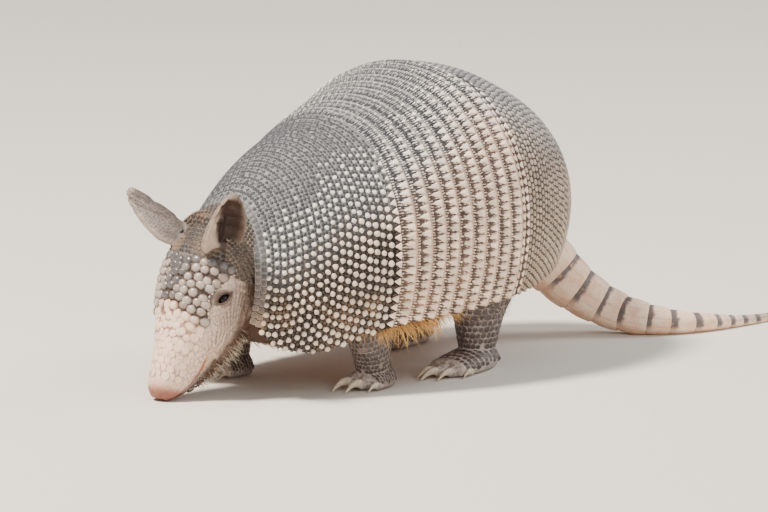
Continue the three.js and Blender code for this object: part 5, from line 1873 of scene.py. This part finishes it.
def bellyHair():
    t = np.linspace(0.14, 0.93, 88)
    ways = np.linspace(-1, 1, 30)
    u = 0.5 + 0.49 * np.sign(ways) * np.abs(ways) ** 0.55
    left, right = (shellPoint(t, side * trunk["reach"], -6.0)[:, None] for side in (1, -1))
    belly = left + (right - left) * u[None, :, None]
    drop = trunk["drop"] * np.sin(math.pi * np.clip(t, 0.1, 0.9))
    belly[..., 2] -= drop[:, None] * np.sin(math.pi * u) ** trunk["square"]
    belly = bent(belly + draw.normal(0, 0.8, belly.shape) * [1, 1, 0])
    fringe = smooth(0.4, 0.47, np.abs(u - 0.5)) * (smooth(0.26, 0.32, t) * smooth(0.58, 0.44, t))[:, None]
    sideways = (0.5 - u)[None, :, None] * np.array([1.6, 0, 0])
    outward = np.broadcast_to(np.array([0, 0, -1.0]) + sideways, belly.shape)
    way = np.array([0, 0.75, -0.35]) + sideways * 0.5 + fringe[..., None] * np.array([0, -0.3, -0.9])
    length = hair["belly"] * (0.6 + 1.4 * fringe)
    return furSeeds(belly, outward, way, length, (0.02, 0.98), np.ones(belly.shape[:2], bool))


def jawSeeds(wart):
    s, angle = gridOf(np.arange(16, 84, hair["jawGap"]), np.arange(112, 181, 7.0))
    s = s + draw.normal(0, 0.6, s.shape)
    angle = angle + draw.normal(0, 2.0, s.shape)
    edge = np.interp(s, [16, 40, 48, 55, 70, 84], [134, 136, 136, 128, 127, 138])
    mask = (angle > edge) & (draw.random(s.shape) < 0.85)
    out = []
    for side in (1, -1):
        turn = side * angle * degree
        grid = headPoint(s, turn)
        outward = headPoint(s, turn, 1.0) - grid
        way = headPoint(s + 0.5, turn) - headPoint(s - 0.5, turn)
        share = (0.02, 0.48) if side > 0 else (0.52, 0.98)
        if wart:
            seeds = furSeeds(grid, outward, way, hair["wart"], share, mask, 0.1)
            seeds["size"] *= [1, 1.3, 0.6]
        else:
            seeds = furSeeds(grid, outward, 0.6 * way + 0.9 * unit(outward), hair["jaw"], share, mask, 0.25)
            tips = seeds["at"] + seeds["axes"][:, :, 1] * seeds["size"][:, 1:2] * 1.3
            seeds = pickSeeds(seeds, placed(tips)[:, 2] > 0.0008)
        out.append(seeds)
    return mergeSeeds(out)


def legHair(name):
    rings, u = limbRings(legs[name], 16, 22)[:2]
    u = u[:, None]
    outward = rings - rings.mean(1, keepdims=True)
    mask = (u < 0.62) & (draw.random(rings.shape[:2]) < 0.8)
    way = np.array([0, 0.35, -0.9])
    return furSeeds(rings, outward, way, hair["leg"] * (1 - 0.5 * u), (0.02, 0.98), mask)


furs = [  # piece, its parts, the function for its seeds and what it's given, shapes, paint, seed, lean
    ("belly_fur", "belly", bellyHair, (), "tuft", "bellyHair", 300, 0.1),
    ("jaw_bristles", "bristle", jawSeeds, (False,), "hair", "paleHair", 310, 0.1),
    ("jaw_warts", "wart", jawSeeds, (True,), "cell", "wart", 320, 0.1),
    ("hair_hind_left", "legHair0", legHair, ("hind_left",), "hair", "paleHair", 330, 0.05),
    ("hair_hind_right", "legHair1", legHair, ("hind_right",), "hair", "paleHair", 334, 0.05),
]
for name, part, seedsOf, given, pattern, finish, seed, lean in furs:
    made = mixedPlates(part, seedsOf(*given), shape[pattern], paint[finish], seed, unevenness=0.2, lean=lean)
    platePiece(name, made, patch=0.003)

rings = tailPiece()
rings.data.materials.append(tailPaint())
finishPiece(rings)
print("tail rings", triangles(rings))

# The view: turned and lowered, metres away, its focal length in pixels of a render this wide, and the
# place it looks at, in millimetres to the right, up and away from the head end of the floor.
view = {
    "azimuth": 38 * degree, "lowered": 9 * degree, "away": 6.0, "focal": 1850 * 6.0, "wide": 768,
    "at": (41.08, 67.57, 30),
}
c, k = math.cos(view["azimuth"]), math.sin(view["azimuth"])
toRight = np.array([c, k, 0])
toFar = np.array([-k * math.cos(view["lowered"]), c * math.cos(view["lowered"]), -math.sin(view["lowered"])])
toUp = np.cross(toRight, toFar)
target = (shift + view["at"][0] * toRight + view["at"][1] * toUp + view["at"][2] * toFar) * mm
lens = bpy.data.cameras.new("camera")
lens.sensor_width = 36
lens.lens = view["focal"] / view["wide"] * 36
lens.clip_end = 40
camera = bpy.data.objects.new("camera", lens)
camera.location = target - toFar * view["away"]
camera.rotation_euler = (math.pi / 2 - view["lowered"], 0, view["azimuth"])
bpy.context.scene.collection.objects.link(camera)
bpy.context.scene.camera = camera

floorPaint = Paint("floor", 0.9, 0.2)
floorPaint.set("Base Color", rgb(226, 221, 212))
wide = 12000
corners = np.array([(-wide, -wide, 0), (wide, -wide, 0), (wide, wide, 0), (-wide, wide, 0)]) * mm
floor = newMesh("floor", corners, [np.array([[0, 1, 2, 3]])], isPlaced=False, isSmooth=False)
floor.data.materials.append(floorPaint.material)

world = bpy.data.worlds.new("world")
bpy.context.scene.world = world
world.use_nodes = True
world.node_tree.nodes["Background"].inputs["Color"].default_value = (*rgb(221, 224, 228), 1)
world.node_tree.nodes["Background"].inputs["Strength"].default_value = 0.57
lamps = {  # place, size, power, colour
    "key": ((-0.7, -1.3, 2.3), 0.45, 172, (255, 243, 230)),
    "fill": ((1.8, -0.9, 0.9), 1.6, 17, (255, 250, 244)),
    "back": ((0.8, 1.6, 1.4), 1.0, 26, (255, 255, 255)),
}
for name, (place, size, power, tone) in lamps.items():
    lamp = bpy.data.lights.new(name, "AREA")
    lamp.size = size
    lamp.energy = power
    lamp.color = rgb(*tone)
    holder = bpy.data.objects.new(name, lamp)
    holder.location = place
    way = np.array([0, 0, 0.07]) - np.array(place)
    flat = math.hypot(way[0], way[1])
    holder.rotation_euler = (math.atan2(flat, -way[2]), 0, math.atan2(-way[0], way[1]))
    bpy.context.scene.collection.objects.link(holder)

for pattern in patterns:
    bpy.data.objects.remove(pattern)
